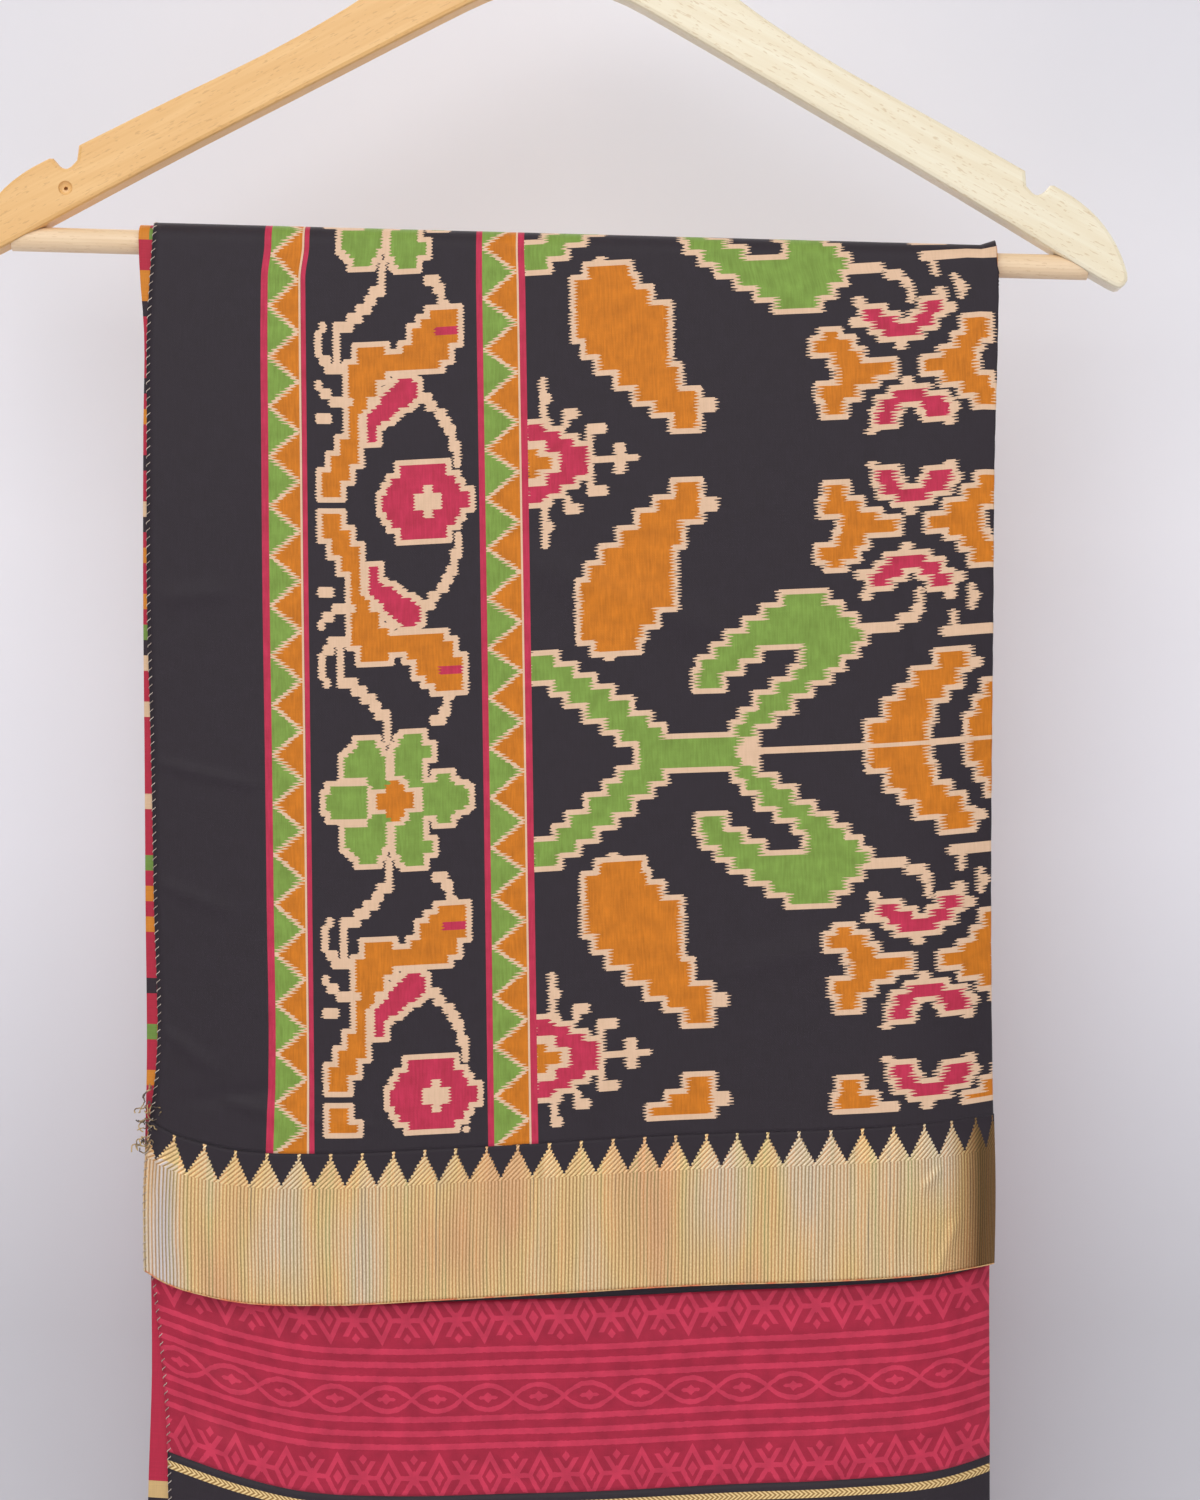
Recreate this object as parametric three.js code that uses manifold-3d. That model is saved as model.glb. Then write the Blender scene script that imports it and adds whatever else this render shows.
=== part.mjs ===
// A printed silk saree, folded across its length and hung over the bar of a wooden hanger.
// Millimetres, +Z up, the front of the cloth towards -Y.
// The origin is the inside top of the hook, where it rests on its rail.
import * as THREE from 'three';
import { mergeVertices } from 'three/addons/utils/BufferGeometryUtils.js';
import Module from 'manifold-3d';

const wasm = await Module();
wasm.setup();

// Hanger sizes. Its own frame is level; the whole hanger then tilts about the origin.
const hangerTilt = THREE.MathUtils.degToRad(1.55);
const barDrop = 204;
const barDiameter = 9.6;
const barHalfLength = 210.5;
const armThickness = 12;
const armEdgeRound = 1.6;
const armSeam = 0.15;
const pinHole = { x: -189.4, aboveBar: 19.4, recessDiameter: 5.6, holeDiameter: 1.6, depth: 3.4 };
const hookWireDiameter = 3.5;
const hookInnerRadius = 19.25;
const hookTipAngle = THREE.MathUtils.degToRad(203);
const hookTurnAngle = THREE.MathUtils.degToRad(-48);
const hookFoot = -84;
const fitGap = 0.3;

// Cloth sizes
const sheetWall = 1;
const seamGap = 0.3;
const foldsWallAtBar = 1.4;
const foldsWallBelow = 2.4;
const barClearance = 0.3;
const frontHalfGap = 1.8;
const backHalfGap = 2.3;
const settleDrop = 240;
const borderHeight = 59;
const redBandHeight = 76;
const backHemBelowBand = 205;
const innerFieldHeight = 26;
const foldsAboveFrontHem = 3;
const foldsAboveBackHem = 4;
const edgeLobes = 4;
const lobeDepth = 0.9;
const lobeUnevenness = 0.5;
const cornerRise = { from: 163, to: 170, height: 2.4 };

const barRadius = barDiameter / 2;
const foldsRadius = barRadius + barClearance;
const sheetRadius = foldsRadius + foldsWallAtBar + seamGap;
const bendRadius = sheetRadius + sheetWall / 2;
const overBar = Math.PI * bendRadius;

// Side edges of the cloth by the drop below the bar
const sideEdges = [
  { drop: 0, sheetLeft: -160.0, sheetRight: 170.0, foldLeft: -165.6 },
  { drop: 12, sheetLeft: -160.9, sheetRight: 169.7, foldLeft: -165.2 },
  { drop: 33, sheetLeft: -162.1, sheetRight: 169.2, foldLeft: -163.6 },
  { drop: 75, sheetLeft: -162.3, sheetRight: 167.8, foldLeft: -163.8 },
  { drop: 140, sheetLeft: -162.3, sheetRight: 166.9, foldLeft: -163.9 },
  { drop: 200, sheetLeft: -160.7, sheetRight: 166.2, foldLeft: -163.4 },
  { drop: 258, sheetLeft: -159.5, sheetRight: 166.2, foldLeft: -163.0 },
  { drop: 320, sheetLeft: -158.4, sheetRight: 167.5, foldLeft: -162.4 },
  { drop: 362, sheetLeft: -163.2, sheetRight: 168.8, foldLeft: -163.2 },
  { drop: 404, sheetLeft: -163.4, sheetRight: 167.8, foldLeft: -163.0 },
  { drop: 443, sheetLeft: -162.6, sheetRight: 167.0, foldLeft: -162.7 },
  { drop: 488, sheetLeft: -163.0, sheetRight: 167.0, foldLeft: -164.1 },
  { drop: 700, sheetLeft: -162.0, sheetRight: 167.0, foldLeft: -163.4 },
];

// Left edge of the innermost layer, which swings in as it comes down
const innerEdges = [
  { drop: 380, left: -162.4 },
  { drop: 407, left: -161.9 },
  { drop: 428, left: -159.3 },
  { drop: 464, left: -156.2 },
  { drop: 490, left: -155.6 },
  { drop: 700, left: -157.0 },
];

// Front hem across the cloth
const hemLine = [
  { x: -163.5, drop: 402 },
  { x: -156.5, drop: 406 },
  { x: -136.5, drop: 411.6 },
  { x: -92, drop: 413.4 },
  { x: -52, drop: 410.8 },
  { x: -4, drop: 406.5 },
  { x: 34, drop: 403.2 },
  { x: 87, drop: 399.9 },
  { x: 132, drop: 396.5 },
  { x: 167.5, drop: 392.6 },
];

// Lower edge of the red band, which sags between the two sides
const bandLine = [
  { x: -163, drop: 473 },
  { x: -132.6, drop: 482 },
  { x: -110, drop: 486.6 },
  { x: -72.6, drop: 488.2 },
  { x: -20, drop: 485.4 },
  { x: 53.4, drop: 480.6 },
  { x: 107.6, drop: 476.4 },
  { x: 146.3, drop: 472.7 },
  { x: 167.3, drop: 469.1 },
];

// Soft vertical folds of both flaps: a ridge towards the viewer is negative
const softFolds = [
  { x: -112, halfWidth: 38, depth: -1.2, from: 120, full: 330 },
  { x: -50, halfWidth: 40, depth: 1.1, from: 200, full: 400 },
  { x: 8, halfWidth: 36, depth: -0.9, from: 60, full: 360 },
  { x: 64, halfWidth: 38, depth: 1.1, from: 150, full: 380 },
  { x: 104, halfWidth: 34, depth: -0.8, from: 240, full: 420 },
];

// The folded sides lean away from the viewer, more so low down
const sideRolls = [
  { from: 124, to: 169, depth: 15, power: 2.4, fromDrop: 0, fullDrop: 360 },
  { from: -134, to: -165, depth: 2.6, power: 2, fromDrop: 40, fullDrop: 380 },
];

// Where the columns of every cloth wall stand between its side edges, closer where the side rolls
const columnStep = { first: -140, last: 120, step: 20 };
const rollColumns = [132, 142, 150, 157, 163];
const columns = [-150];
for (let x = columnStep.first; x <= columnStep.last; x += columnStep.step) columns.push(x);
columns.push(...rollColumns);

function smooth(low, high, value) {
  return THREE.MathUtils.smoothstep(value, low, high);
}

// Value of one named column of a table, eased between its rows
function readTable(table, key, column, at) {
  if (at <= table[0][key]) return table[0][column];
  for (let i = 1; i < table.length; i++) {
    const low = table[i - 1];
    const high = table[i];
    if (at <= high[key]) {
      return THREE.MathUtils.lerp(low[column], high[column], (at - low[key]) / (high[key] - low[key]));
    }
  }
  return table[table.length - 1][column];
}

// Height of the tilted bar's axis
function barHeight(x) {
  return -barDrop * Math.cos(hangerTilt) - Math.tan(hangerTilt) * (x + barDrop * Math.sin(hangerTilt));
}

// How far the flaps stand off their plane, away from the viewer
function lean(x, drop) {
  let away = 0;
  for (const fold of softFolds) {
    const across = Math.abs(x - fold.x) / fold.halfWidth;
    if (across < 1) {
      away += fold.depth * Math.cos(across * Math.PI / 2) ** 2 * smooth(fold.from, fold.full, drop);
    }
  }
  for (const roll of sideRolls) {
    const across = (x - roll.from) / (roll.to - roll.from);
    if (across > 0) away += roll.depth * across ** roll.power * smooth(roll.fromDrop, roll.fullDrop, drop);
  }
  return away;
}

// Distance of each cloth surface from the plane of the bar
const level = {
  foldsInner: (drop, side) => {
    const closed = side < 0 ? frontHalfGap : backHalfGap;
    return THREE.MathUtils.lerp(foldsRadius, closed, smooth(0, settleDrop, drop));
  },
  foldsOuter: (drop, side) => {
    const wall = THREE.MathUtils.lerp(foldsWallAtBar, foldsWallBelow, smooth(0, settleDrop, drop));
    return level.foldsInner(drop, side) + wall;
  },
  sheetInner: (drop, side) => level.foldsOuter(drop, side) + seamGap,
  sheetOuter: (drop, side) => level.foldsOuter(drop, side) + seamGap + sheetWall,
  liningOuter: (drop, side) => level.foldsInner(drop, side) - seamGap,
  liningInner: (drop, side) => level.foldsInner(drop, side) - seamGap - sheetWall,
};

// A point of the cloth. Travel is the drop down the front flap; it is negative over the bar, and past
// the bar it runs down the back flap.
function clothPoint(x, travel, surface) {
  if (travel < 0 && travel > -overBar) {
    const angle = -travel / bendRadius;
    const radius = surface(0, -1);
    const upCorner = THREE.MathUtils.inverseLerp(cornerRise.from, cornerRise.to, x);
    const rise = cornerRise.height * THREE.MathUtils.clamp(upCorner, 0, 1);
    const height = barHeight(x) + (radius + rise) * Math.sin(angle);
    return new THREE.Vector3(x, -radius * Math.cos(angle), height);
  }
  const side = travel >= 0 ? -1 : 1;
  const drop = travel >= 0 ? travel : -travel - overBar;
  const slope = lean(x + 0.5, drop) - lean(x - 0.5, drop);
  const reach = side * surface(drop, side) / Math.hypot(1, slope);
  return new THREE.Vector3(x - slope * reach, lean(x, drop) + reach, barHeight(x) - drop);
}

// Travel of a line at a given drop on the front or the back flap
function onFront(drop) {
  return drop;
}

function onBack(drop) {
  return -overBar - drop;
}

function dropOf(travel) {
  if (travel >= 0) return travel;
  return Math.max(0, -travel - overBar);
}

// Row positions between two lines, each line a travel for every x
function rowsBetween(start, end, count) {
  const rows = [];
  for (let i = 0; i <= count; i++) rows.push((x) => THREE.MathUtils.lerp(start(x), end(x), i / count));
  return rows;
}

function material(color, roughness, metalness = 0) {
  return new THREE.MeshStandardMaterial({ color, roughness, metalness });
}

function solidGeometry(positions, index) {
  let volume = 0;
  for (let i = 0; i < index.length; i += 3) {
    const [a, b, c] = [positions[index[i]], positions[index[i + 1]], positions[index[i + 2]]];
    volume += a.dot(b.clone().cross(c));
  }
  if (volume < 0) index.reverse();
  const geometry = new THREE.BufferGeometry().setFromPoints(positions);
  geometry.setIndex(index);
  geometry.computeVertexNormals();
  return geometry;
}

// A closed wall of cloth between two surfaces, with its side edges plain or in lobes, one for each
// group of folded layers.
function clothWall({ rows, left, right, inner, outer, lobes = 0 }) {
  const positions = [];
  const index = [];
  const add = (point) => positions.push(point) - 1;
  const atEdge = (row, edge) => edge(dropOf(row(edge(0))));
  const loops = rows.map((row) => {
    const stations = [atEdge(row, left), ...columns, atEdge(row, right)];
    const outerRow = stations.map((x) => clothPoint(x, row(x), outer));
    const innerRow = stations.map((x) => clothPoint(x, row(x), inner));
    const last = stations.length - 1;
    const rightEdge = lobedEdge(outerRow[last], innerRow[last], 1, lobes);
    const leftEdge = lobedEdge(innerRow[0], outerRow[0], -1, lobes);
    return {
      outer: outerRow.map(add),
      right: rightEdge.map(add),
      inner: innerRow.map(add),
      left: leftEdge.map(add),
    };
  });
  const rings = loops.map((loop) => {
    return [...loop.outer, ...loop.right, ...[...loop.inner].reverse(), ...loop.left];
  });
  for (let j = 1; j < rings.length; j++) {
    const [low, high] = [rings[j - 1], rings[j]];
    low.forEach((corner, i) => {
      const next = (i + 1) % low.length;
      index.push(corner, low[next], high[next], corner, high[next], high[i]);
    });
  }
  closeEnd(loops[0], false, positions, index);
  closeEnd(loops[loops.length - 1], true, positions, index);
  return solidGeometry(positions, index);
}

// Points between the two faces at a side edge, one rounded lobe for each group of layers
function lobedEdge(from, to, outward, lobes) {
  const across = to.clone().sub(from);
  const aside = new THREE.Vector3(Math.abs(across.y), -across.x * Math.sign(across.y), 0).normalize();
  const points = [];
  for (let i = 1; i < lobes * 2; i++) {
    const point = from.clone().lerp(to, i / (lobes * 2));
    const reach = lobeDepth * (1 + lobeUnevenness * Math.sin(i * 2.1));
    if (i % 2 === 1) point.addScaledVector(aside, outward * reach);
    points.push(point);
  }
  return points;
}

// Flat end of a cloth wall: quads between its faces, and a fan about a middle point at each side
function closeEnd(loop, forward, positions, index) {
  const face = (a, b, c) => index.push(...(forward ? [a, b, c] : [a, c, b]));
  const last = loop.outer.length - 1;
  for (let i = 1; i < last - 1; i++) {
    face(loop.outer[i], loop.outer[i + 1], loop.inner[i + 1]);
    face(loop.outer[i], loop.inner[i + 1], loop.inner[i]);
  }
  const { outer, inner } = loop;
  const rightRing = [outer[last - 1], outer[last], ...loop.right, inner[last], inner[last - 1]];
  const leftRing = [inner[1], inner[0], ...loop.left, outer[0], outer[1]];
  for (const ring of [rightRing, leftRing]) {
    const hub = new THREE.Vector3();
    ring.forEach((corner) => hub.add(positions[corner]));
    const middle = positions.push(hub.divideScalar(ring.length)) - 1;
    ring.forEach((corner, i) => face(corner, ring[(i + 1) % ring.length], middle));
  }
}

// Side edges as functions of the drop
const sheetLeft = (drop) => readTable(sideEdges, 'drop', 'sheetLeft', drop);
const sheetRight = (drop) => readTable(sideEdges, 'drop', 'sheetRight', drop);
const foldLeft = (drop) => readTable(sideEdges, 'drop', 'foldLeft', drop) + lobeDepth;
const foldRight = (drop) => sheetRight(drop) - lobeDepth;
const innerLeft = (drop) => readTable(innerEdges, 'drop', 'left', drop);
const innerRight = (drop) => sheetRight(drop) - 0.6;

// Lines across the cloth, as a drop for every x
const frontHem = (x) => readTable(hemLine, 'x', 'drop', x);
const borderTop = (x) => frontHem(x) - borderHeight;
const bandFoot = (x) => readTable(bandLine, 'x', 'drop', x);
const bandTop = (x) => bandFoot(x) - redBandHeight;
const backHem = (x) => bandFoot(x) + backHemBelowBand;
const backBorderTop = (x) => backHem(x) - borderHeight;

const halfSeam = seamGap / 2;
const silkBlack = material('#3a3238', 0.62);
const silkRed = material('#b32a48', 0.58);
const zariGold = material('#cdb27a', 0.42, 0.35);
const foldedSilk = material('#7d2f42', 0.66);

function addPiece(group, name, geometry, finish) {
  const mesh = new THREE.Mesh(geometry, finish);
  mesh.name = name;
  group.add(mesh);
}

// Outermost layer on the front, which carries the print over the bar
function addFront(group) {
  const side = { left: sheetLeft, right: sheetRight, inner: level.sheetInner, outer: level.sheetOuter };
  const overRows = rowsBetween(() => -overBar, () => 0, 8);
  const flapRows = rowsBetween(() => 0, (x) => onFront(borderTop(x) - halfSeam), 12);
  const rows = [...overRows.slice(0, -1), ...flapRows];
  addPiece(group, 'front_field', clothWall({ ...side, rows }), silkBlack);
  const borderRows = rowsBetween((x) => onFront(borderTop(x) + halfSeam), (x) => onFront(frontHem(x)), 4);
  addPiece(group, 'front_zari_border', clothWall({ ...side, rows: borderRows }), zariGold);
}

// Outermost layer on the back
function addBack(group) {
  const side = { left: sheetLeft, right: sheetRight, inner: level.sheetInner, outer: level.sheetOuter };
  const stretches = [
    { name: 'back_field', from: () => seamGap, to: bandTop, count: 10, finish: silkBlack },
    { name: 'back_red_band', from: bandTop, to: bandFoot, count: 4, finish: silkRed },
    { name: 'back_hem_field', from: bandFoot, to: backBorderTop, count: 6, finish: silkBlack },
    { name: 'back_zari_border', from: backBorderTop, to: backHem, count: 3, finish: zariGold },
  ];
  addStretches(group, side, stretches);
}

// Innermost layer, which faces the viewer below the front hem
function addInner(group) {
  const side = { left: innerLeft, right: innerRight, inner: level.liningInner, outer: level.liningOuter };
  const fieldTop = (x) => bandTop(x) - innerFieldHeight;
  const stretches = [
    { name: 'inner_field', from: fieldTop, to: bandTop, count: 1, finish: silkBlack },
    { name: 'inner_red_band', from: bandTop, to: bandFoot, count: 4, finish: silkRed },
    { name: 'inner_hem_field', from: bandFoot, to: backBorderTop, count: 6, finish: silkBlack },
    { name: 'inner_zari_border', from: backBorderTop, to: backHem, count: 3, finish: zariGold },
  ];
  addStretches(group, side, stretches);
}

function addStretches(group, side, stretches) {
  for (const { name, from, to, count, finish } of stretches) {
    const start = (x) => onBack(from(x) + halfSeam);
    const end = (x) => onBack(to(x) - halfSeam);
    addPiece(group, name, clothWall({ ...side, rows: rowsBetween(start, end, count) }), finish);
  }
}

// The fourteen hidden layers, one rounded solid from hem to hem over the bar
function addHiddenFolds(group) {
  const frontRows = rowsBetween((x) => onFront(frontHem(x) - foldsAboveFrontHem), () => 0, 11);
  const overRows = rowsBetween(() => 0, () => -overBar, 8);
  const backFoot = (x) => onBack(backHem(x) - foldsAboveBackHem);
  const backRows = rowsBetween(() => -overBar, backFoot, 15);
  const rows = [...frontRows, ...overRows.slice(1, -1), ...backRows];
  const geometry = clothWall({
    rows,
    left: foldLeft,
    right: foldRight,
    inner: level.foldsInner,
    outer: level.foldsOuter,
    lobes: edgeLobes,
  });
  addPiece(group, 'hidden_folds', geometry, foldedSilk);
}

function toManifold(geometry) {
  const bare = geometry.clone();
  bare.deleteAttribute('normal');
  bare.deleteAttribute('uv');
  const merged = mergeVertices(bare, 1e-4);
  const vertProperties = new Float32Array(merged.attributes.position.array);
  const triVerts = new Uint32Array(merged.index.array);
  return new wasm.Manifold(new wasm.Mesh({ numProp: 3, vertProperties, triVerts }));
}

function toGeometry(solid) {
  const mesh = solid.getMesh();
  const geometry = new THREE.BufferGeometry();
  const positions = new Float32Array(mesh.numVert * 3);
  for (let i = 0; i < mesh.numVert; i++) {
    for (let k = 0; k < 3; k++) positions[i * 3 + k] = mesh.vertProperties[i * mesh.numProp + k];
  }
  geometry.setAttribute('position', new THREE.BufferAttribute(positions, 3));
  geometry.setIndex(Array.from(mesh.triVerts));
  geometry.computeVertexNormals();
  return geometry;
}

// Outline of one arm in the hanger's level frame: x outwards, y above the bar's axis. It starts past
// the middle seam, where a cut makes the flat joint.
function armOutline() {
  const point = (x, y) => new THREE.Vector2(x, y);
  const outline = new THREE.Shape();
  outline.moveTo(-4, 106);
  outline.lineTo(6, 106);
  outline.splineThru([point(24.8, 100), point(49, 87.6), point(101.7, 58.6)]);
  outline.splineThru([point(148, 33.2), point(194, 7), point(208, -1.2), point(219, -7.2)]);
  outline.splineThru([point(223, -8.4), point(226, -4.4), point(223.8, 3)]);
  outline.splineThru([point(220, 10.6), point(213.5, 19), point(205, 26), point(196.2, 31)]);
  outline.lineTo(194.6, 31);
  outline.splineThru([point(191.6, 27.8), point(188.6, 27.4), point(185.4, 30.6)]);
  outline.lineTo(184.8, 36.4);
  outline.splineThru([point(151, 54.4), point(113.4, 74), point(86.4, 90), point(70, 101.2)]);
  outline.splineThru([point(54, 114), point(36, 126), point(18, 135), point(6, 138)]);
  outline.lineTo(-4, 138);
  outline.closePath();
  return outline;
}

function cylinderAlong(axis, radius, length, centre, segments) {
  const cylinder = new THREE.CylinderGeometry(radius, radius, length, segments);
  if (axis === 'x') cylinder.rotateZ(Math.PI / 2);
  if (axis === 'z') cylinder.rotateX(Math.PI / 2);
  return cylinder.translate(...centre);
}

// One arm, its bar socket and hook socket cut in; the left arm also has the pin's small recess
function armGeometry(hand) {
  const depth = armThickness - 2 * armEdgeRound;
  const arm = new THREE.ExtrudeGeometry(armOutline(), {
    depth,
    curveSegments: 2,
    bevelThickness: armEdgeRound,
    bevelSize: armEdgeRound,
    bevelOffset: -armEdgeRound,
    bevelSegments: 2,
  });
  arm.rotateX(Math.PI / 2).translate(0, depth / 2, -barDrop);
  const seamCut = { across: 40, tall: 80, aboveBar: 120 };
  const beyondSeam = new THREE.BoxGeometry(seamCut.across, seamCut.across, seamCut.tall);
  beyondSeam.translate(armSeam - seamCut.across / 2, 0, seamCut.aboveBar - barDrop);
  const cutLength = 60;
  const barSocketMiddle = [barHalfLength + fitGap - cutLength / 2, 0, -barDrop];
  const barSocket = cylinderAlong('x', barRadius + fitGap, cutLength, barSocketMiddle, 24);
  const hookSocketRadius = hookWireDiameter / 2 + fitGap;
  const hookSocketMiddle = [0, 0, hookFoot - fitGap + cutLength / 2];
  const hookSocket = cylinderAlong('z', hookSocketRadius, cutLength, hookSocketMiddle, 12);
  let solid = toManifold(arm);
  for (const cut of [beyondSeam, barSocket, hookSocket]) solid = solid.subtract(toManifold(cut));
  const geometry = toGeometry(solid);
  if (hand === 'right') return geometry;
  const mirrored = geometry.clone();
  mirrored.applyMatrix4(new THREE.Matrix4().makeScale(-1, 1, 1));
  mirrored.setIndex(Array.from(mirrored.index.array).reverse());
  let left = toManifold(mirrored);
  const face = -armThickness / 2;
  const recess = new THREE.SphereGeometry(pinHole.recessDiameter / 2, 16, 10);
  recess.scale(1, 0.5, 1).translate(pinHole.x, face, pinHole.aboveBar - barDrop);
  const holeMiddle = [pinHole.x, face + pinHole.depth / 2, pinHole.aboveBar - barDrop];
  const holeRadius = pinHole.holeDiameter / 2;
  const hole = new THREE.CylinderGeometry(holeRadius, holeRadius, pinHole.depth + 1, 10);
  hole.translate(...holeMiddle);
  for (const cut of [recess, hole]) left = left.subtract(toManifold(cut));
  return toGeometry(left);
}

// Wire hook: round over the rail, then back under its middle and down into the arms
function hookGeometry() {
  const wireRadius = hookWireDiameter / 2;
  const bend = hookInnerRadius + wireRadius;
  const route = [];
  const arcSteps = 22;
  for (let i = 0; i <= arcSteps; i++) {
    const angle = THREE.MathUtils.lerp(hookTipAngle, hookTurnAngle, i / arcSteps);
    route.push(new THREE.Vector3(bend * Math.cos(angle), 0, bend * Math.sin(angle) - hookInnerRadius));
  }
  route.push(new THREE.Vector3(5.2, 0, -44.5));
  route.push(new THREE.Vector3(0.6, 0, -54));
  route.push(new THREE.Vector3(0, 0, -64));
  route.push(new THREE.Vector3(0, 0, hookFoot));
  const section = new THREE.Shape();
  section.absarc(0, 0, wireRadius, 0, Math.PI * 2);
  const wire = new THREE.ExtrudeGeometry(section, {
    steps: 38,
    curveSegments: 5,
    extrudePath: new THREE.CatmullRomCurve3(route, false, 'centripetal'),
  });
  const tip = new THREE.SphereGeometry(wireRadius * 1.12, 12, 8).translate(...route[0].toArray());
  return toGeometry(toManifold(wire).add(toManifold(tip)));
}

function buildHanger() {
  const hanger = new THREE.Group();
  const barShape = cylinderAlong('x', barRadius, barHalfLength * 2, [0, 0, -barDrop], 24);
  addPiece(hanger, 'hanger_bar', mergeVertices(barShape.deleteAttribute('uv')), material('#e6bf90', 0.5));
  addPiece(hanger, 'hanger_arm_left', armGeometry('left'), material('#d9aa5c', 0.42));
  addPiece(hanger, 'hanger_arm_right', armGeometry('right'), material('#ecd3a4', 0.42));
  addPiece(hanger, 'hanger_hook', hookGeometry(), material('#b9bcc0', 0.25, 1));
  hanger.rotation.y = hangerTilt;
  return hanger;
}

const saree = new THREE.Group();
addFront(saree);
addBack(saree);
addInner(saree);
addHiddenFolds(saree);

const model = new THREE.Group();
model.add(saree);
model.add(buildHanger());

export default model;
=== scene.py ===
import math
import random

import bpy
import numpy as np
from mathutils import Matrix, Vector


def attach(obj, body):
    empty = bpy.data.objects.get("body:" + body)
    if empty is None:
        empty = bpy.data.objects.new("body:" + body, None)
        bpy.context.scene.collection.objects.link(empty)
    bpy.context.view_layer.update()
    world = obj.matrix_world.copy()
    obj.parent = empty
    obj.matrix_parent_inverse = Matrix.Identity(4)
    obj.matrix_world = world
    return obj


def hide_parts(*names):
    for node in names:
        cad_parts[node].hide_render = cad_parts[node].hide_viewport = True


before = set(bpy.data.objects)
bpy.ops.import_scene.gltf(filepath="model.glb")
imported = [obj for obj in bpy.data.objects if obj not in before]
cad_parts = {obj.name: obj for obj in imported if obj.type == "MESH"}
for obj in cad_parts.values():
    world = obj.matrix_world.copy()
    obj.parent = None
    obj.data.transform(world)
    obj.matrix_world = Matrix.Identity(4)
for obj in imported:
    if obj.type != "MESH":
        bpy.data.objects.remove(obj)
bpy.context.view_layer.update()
mm = 0.001
print("frame loaded")

# Camera, level, at the photograph's height and side; sizes in millimetres
cameraSetup = {"across": 14.15, "height": -398.6, "away": 1110, "frameHeight": 588, "sensor": 36}


def makeCamera():
    data = bpy.data.cameras.new("camera")
    data.sensor_width = cameraSetup["sensor"]
    data.lens = cameraSetup["sensor"] * cameraSetup["away"] / cameraSetup["frameHeight"]
    camera = bpy.data.objects.new("camera", data)
    camera.location = (cameraSetup["across"] * mm, -cameraSetup["away"] * mm, cameraSetup["height"] * mm)
    camera.rotation_euler = (math.pi / 2, 0, 0)
    bpy.context.collection.objects.link(camera)
    bpy.context.scene.camera = camera


makeCamera()
print("camera placed")

# The bar that the cloth hangs on; it slopes down a little to the right
hangerSizes = {"tilt": math.radians(1.55), "barDrop": 204, "barRadius": 4.8}

# Sizes of the folded cloth
clothSizes = {
    "sheetWall": 1,
    "seamGap": 0.3,
    "foldsWallAtBar": 1.4,
    "foldsWallBelow": 2.4,
    "barClearance": 0.3,
    "frontHalfGap": 1.8,
    "backHalfGap": 2.3,
    "settleDrop": 240,
    "borderHeight": 59,
    "redBandHeight": 76,
    "backHemBelowBand": 205,
    "innerFieldHeight": 26,
    "edgeThickness": 0.28,
    "liningRoom": 1.05,
    "rim": (1, 8),
    "foldRoom": 4,
    "foldRadius": 0.33,
    "liningStep": 6,
    "deepestTrough": -0.75,
    "span": (-162.5, 167),
    "cornerRise": (163, 170, 2.4),
}

foldsRadius = hangerSizes["barRadius"] + clothSizes["barClearance"]
bendRadius = foldsRadius + clothSizes["foldsWallAtBar"] + clothSizes["seamGap"] + clothSizes["sheetWall"] / 2
overBar = math.pi * bendRadius

# Side edges of the cloth by the drop below the bar
sideEdges = {
    "drop": (0, 12, 33, 75, 140, 200, 258, 320, 362, 404, 443, 488, 700),
    "sheetLeft": (
        -160.0, -160.9, -162.1, -162.3, -162.3, -160.7, -159.5, -158.4, -163.2, -163.4, -162.6, -163, -162,
    ),
    "sheetRight": (170, 169.7, 169.2, 167.8, 166.9, 166.2, 165.9, 166.4, 167.4, 166.8, 167, 167, 167),
    "foldLeft": (
        -165.6, -165.2, -163.6, -163.8, -163.9, -163.4, -163, -162.4, -163.2, -163, -162.7, -164.1, -163.4,
    ),
}
innerEdges = {
    "drop": (380, 407, 428, 464, 490, 700),
    "left": (-162.4, -161.9, -159.3, -156.2, -155.6, -157.0),
}

# Lines across the cloth, as a drop by the place across
hemLine = {
    "x": (-163.5, -156.5, -136.5, -92, -52, -4, 34, 87, 132, 167.5),
    "drop": (402, 406, 411.6, 413.4, 410.8, 406.5, 403.2, 399.9, 396.5, 392.6),
}
bandLine = {
    "x": (-163, -132.6, -110, -72.6, -20, 53.4, 107.6, 146.3, 167.3),
    "drop": (473, 482, 486.6, 488.2, 485.4, 480.6, 476.4, 472.7, 469.1),
}

# Soft vertical folds of both flaps: x, half width, depth, drop where each starts and is full
softFolds = [
    (-112, 38, -1.2, 120, 330),
    (-50, 40, 1.1, 200, 400),
    (8, 36, -0.9, 60, 360),
    (64, 38, 1.1, 150, 380),
    (104, 34, -0.8, 240, 420),
]
# The folded sides lean away: from, to, depth, power, drop where each starts and is full
sideRolls = [
    (124, 169, 15, 2.4, 0, 360),
    (-134, -165, 2.6, 2, 40, 380),
]


def smoothStep(low, high, value):
    part = np.clip((np.asarray(value, float) - low) / (high - low), 0, 1)
    return part * part * (3 - 2 * part)


def mix(low, high, part):
    return low + (high - low) * part


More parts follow.
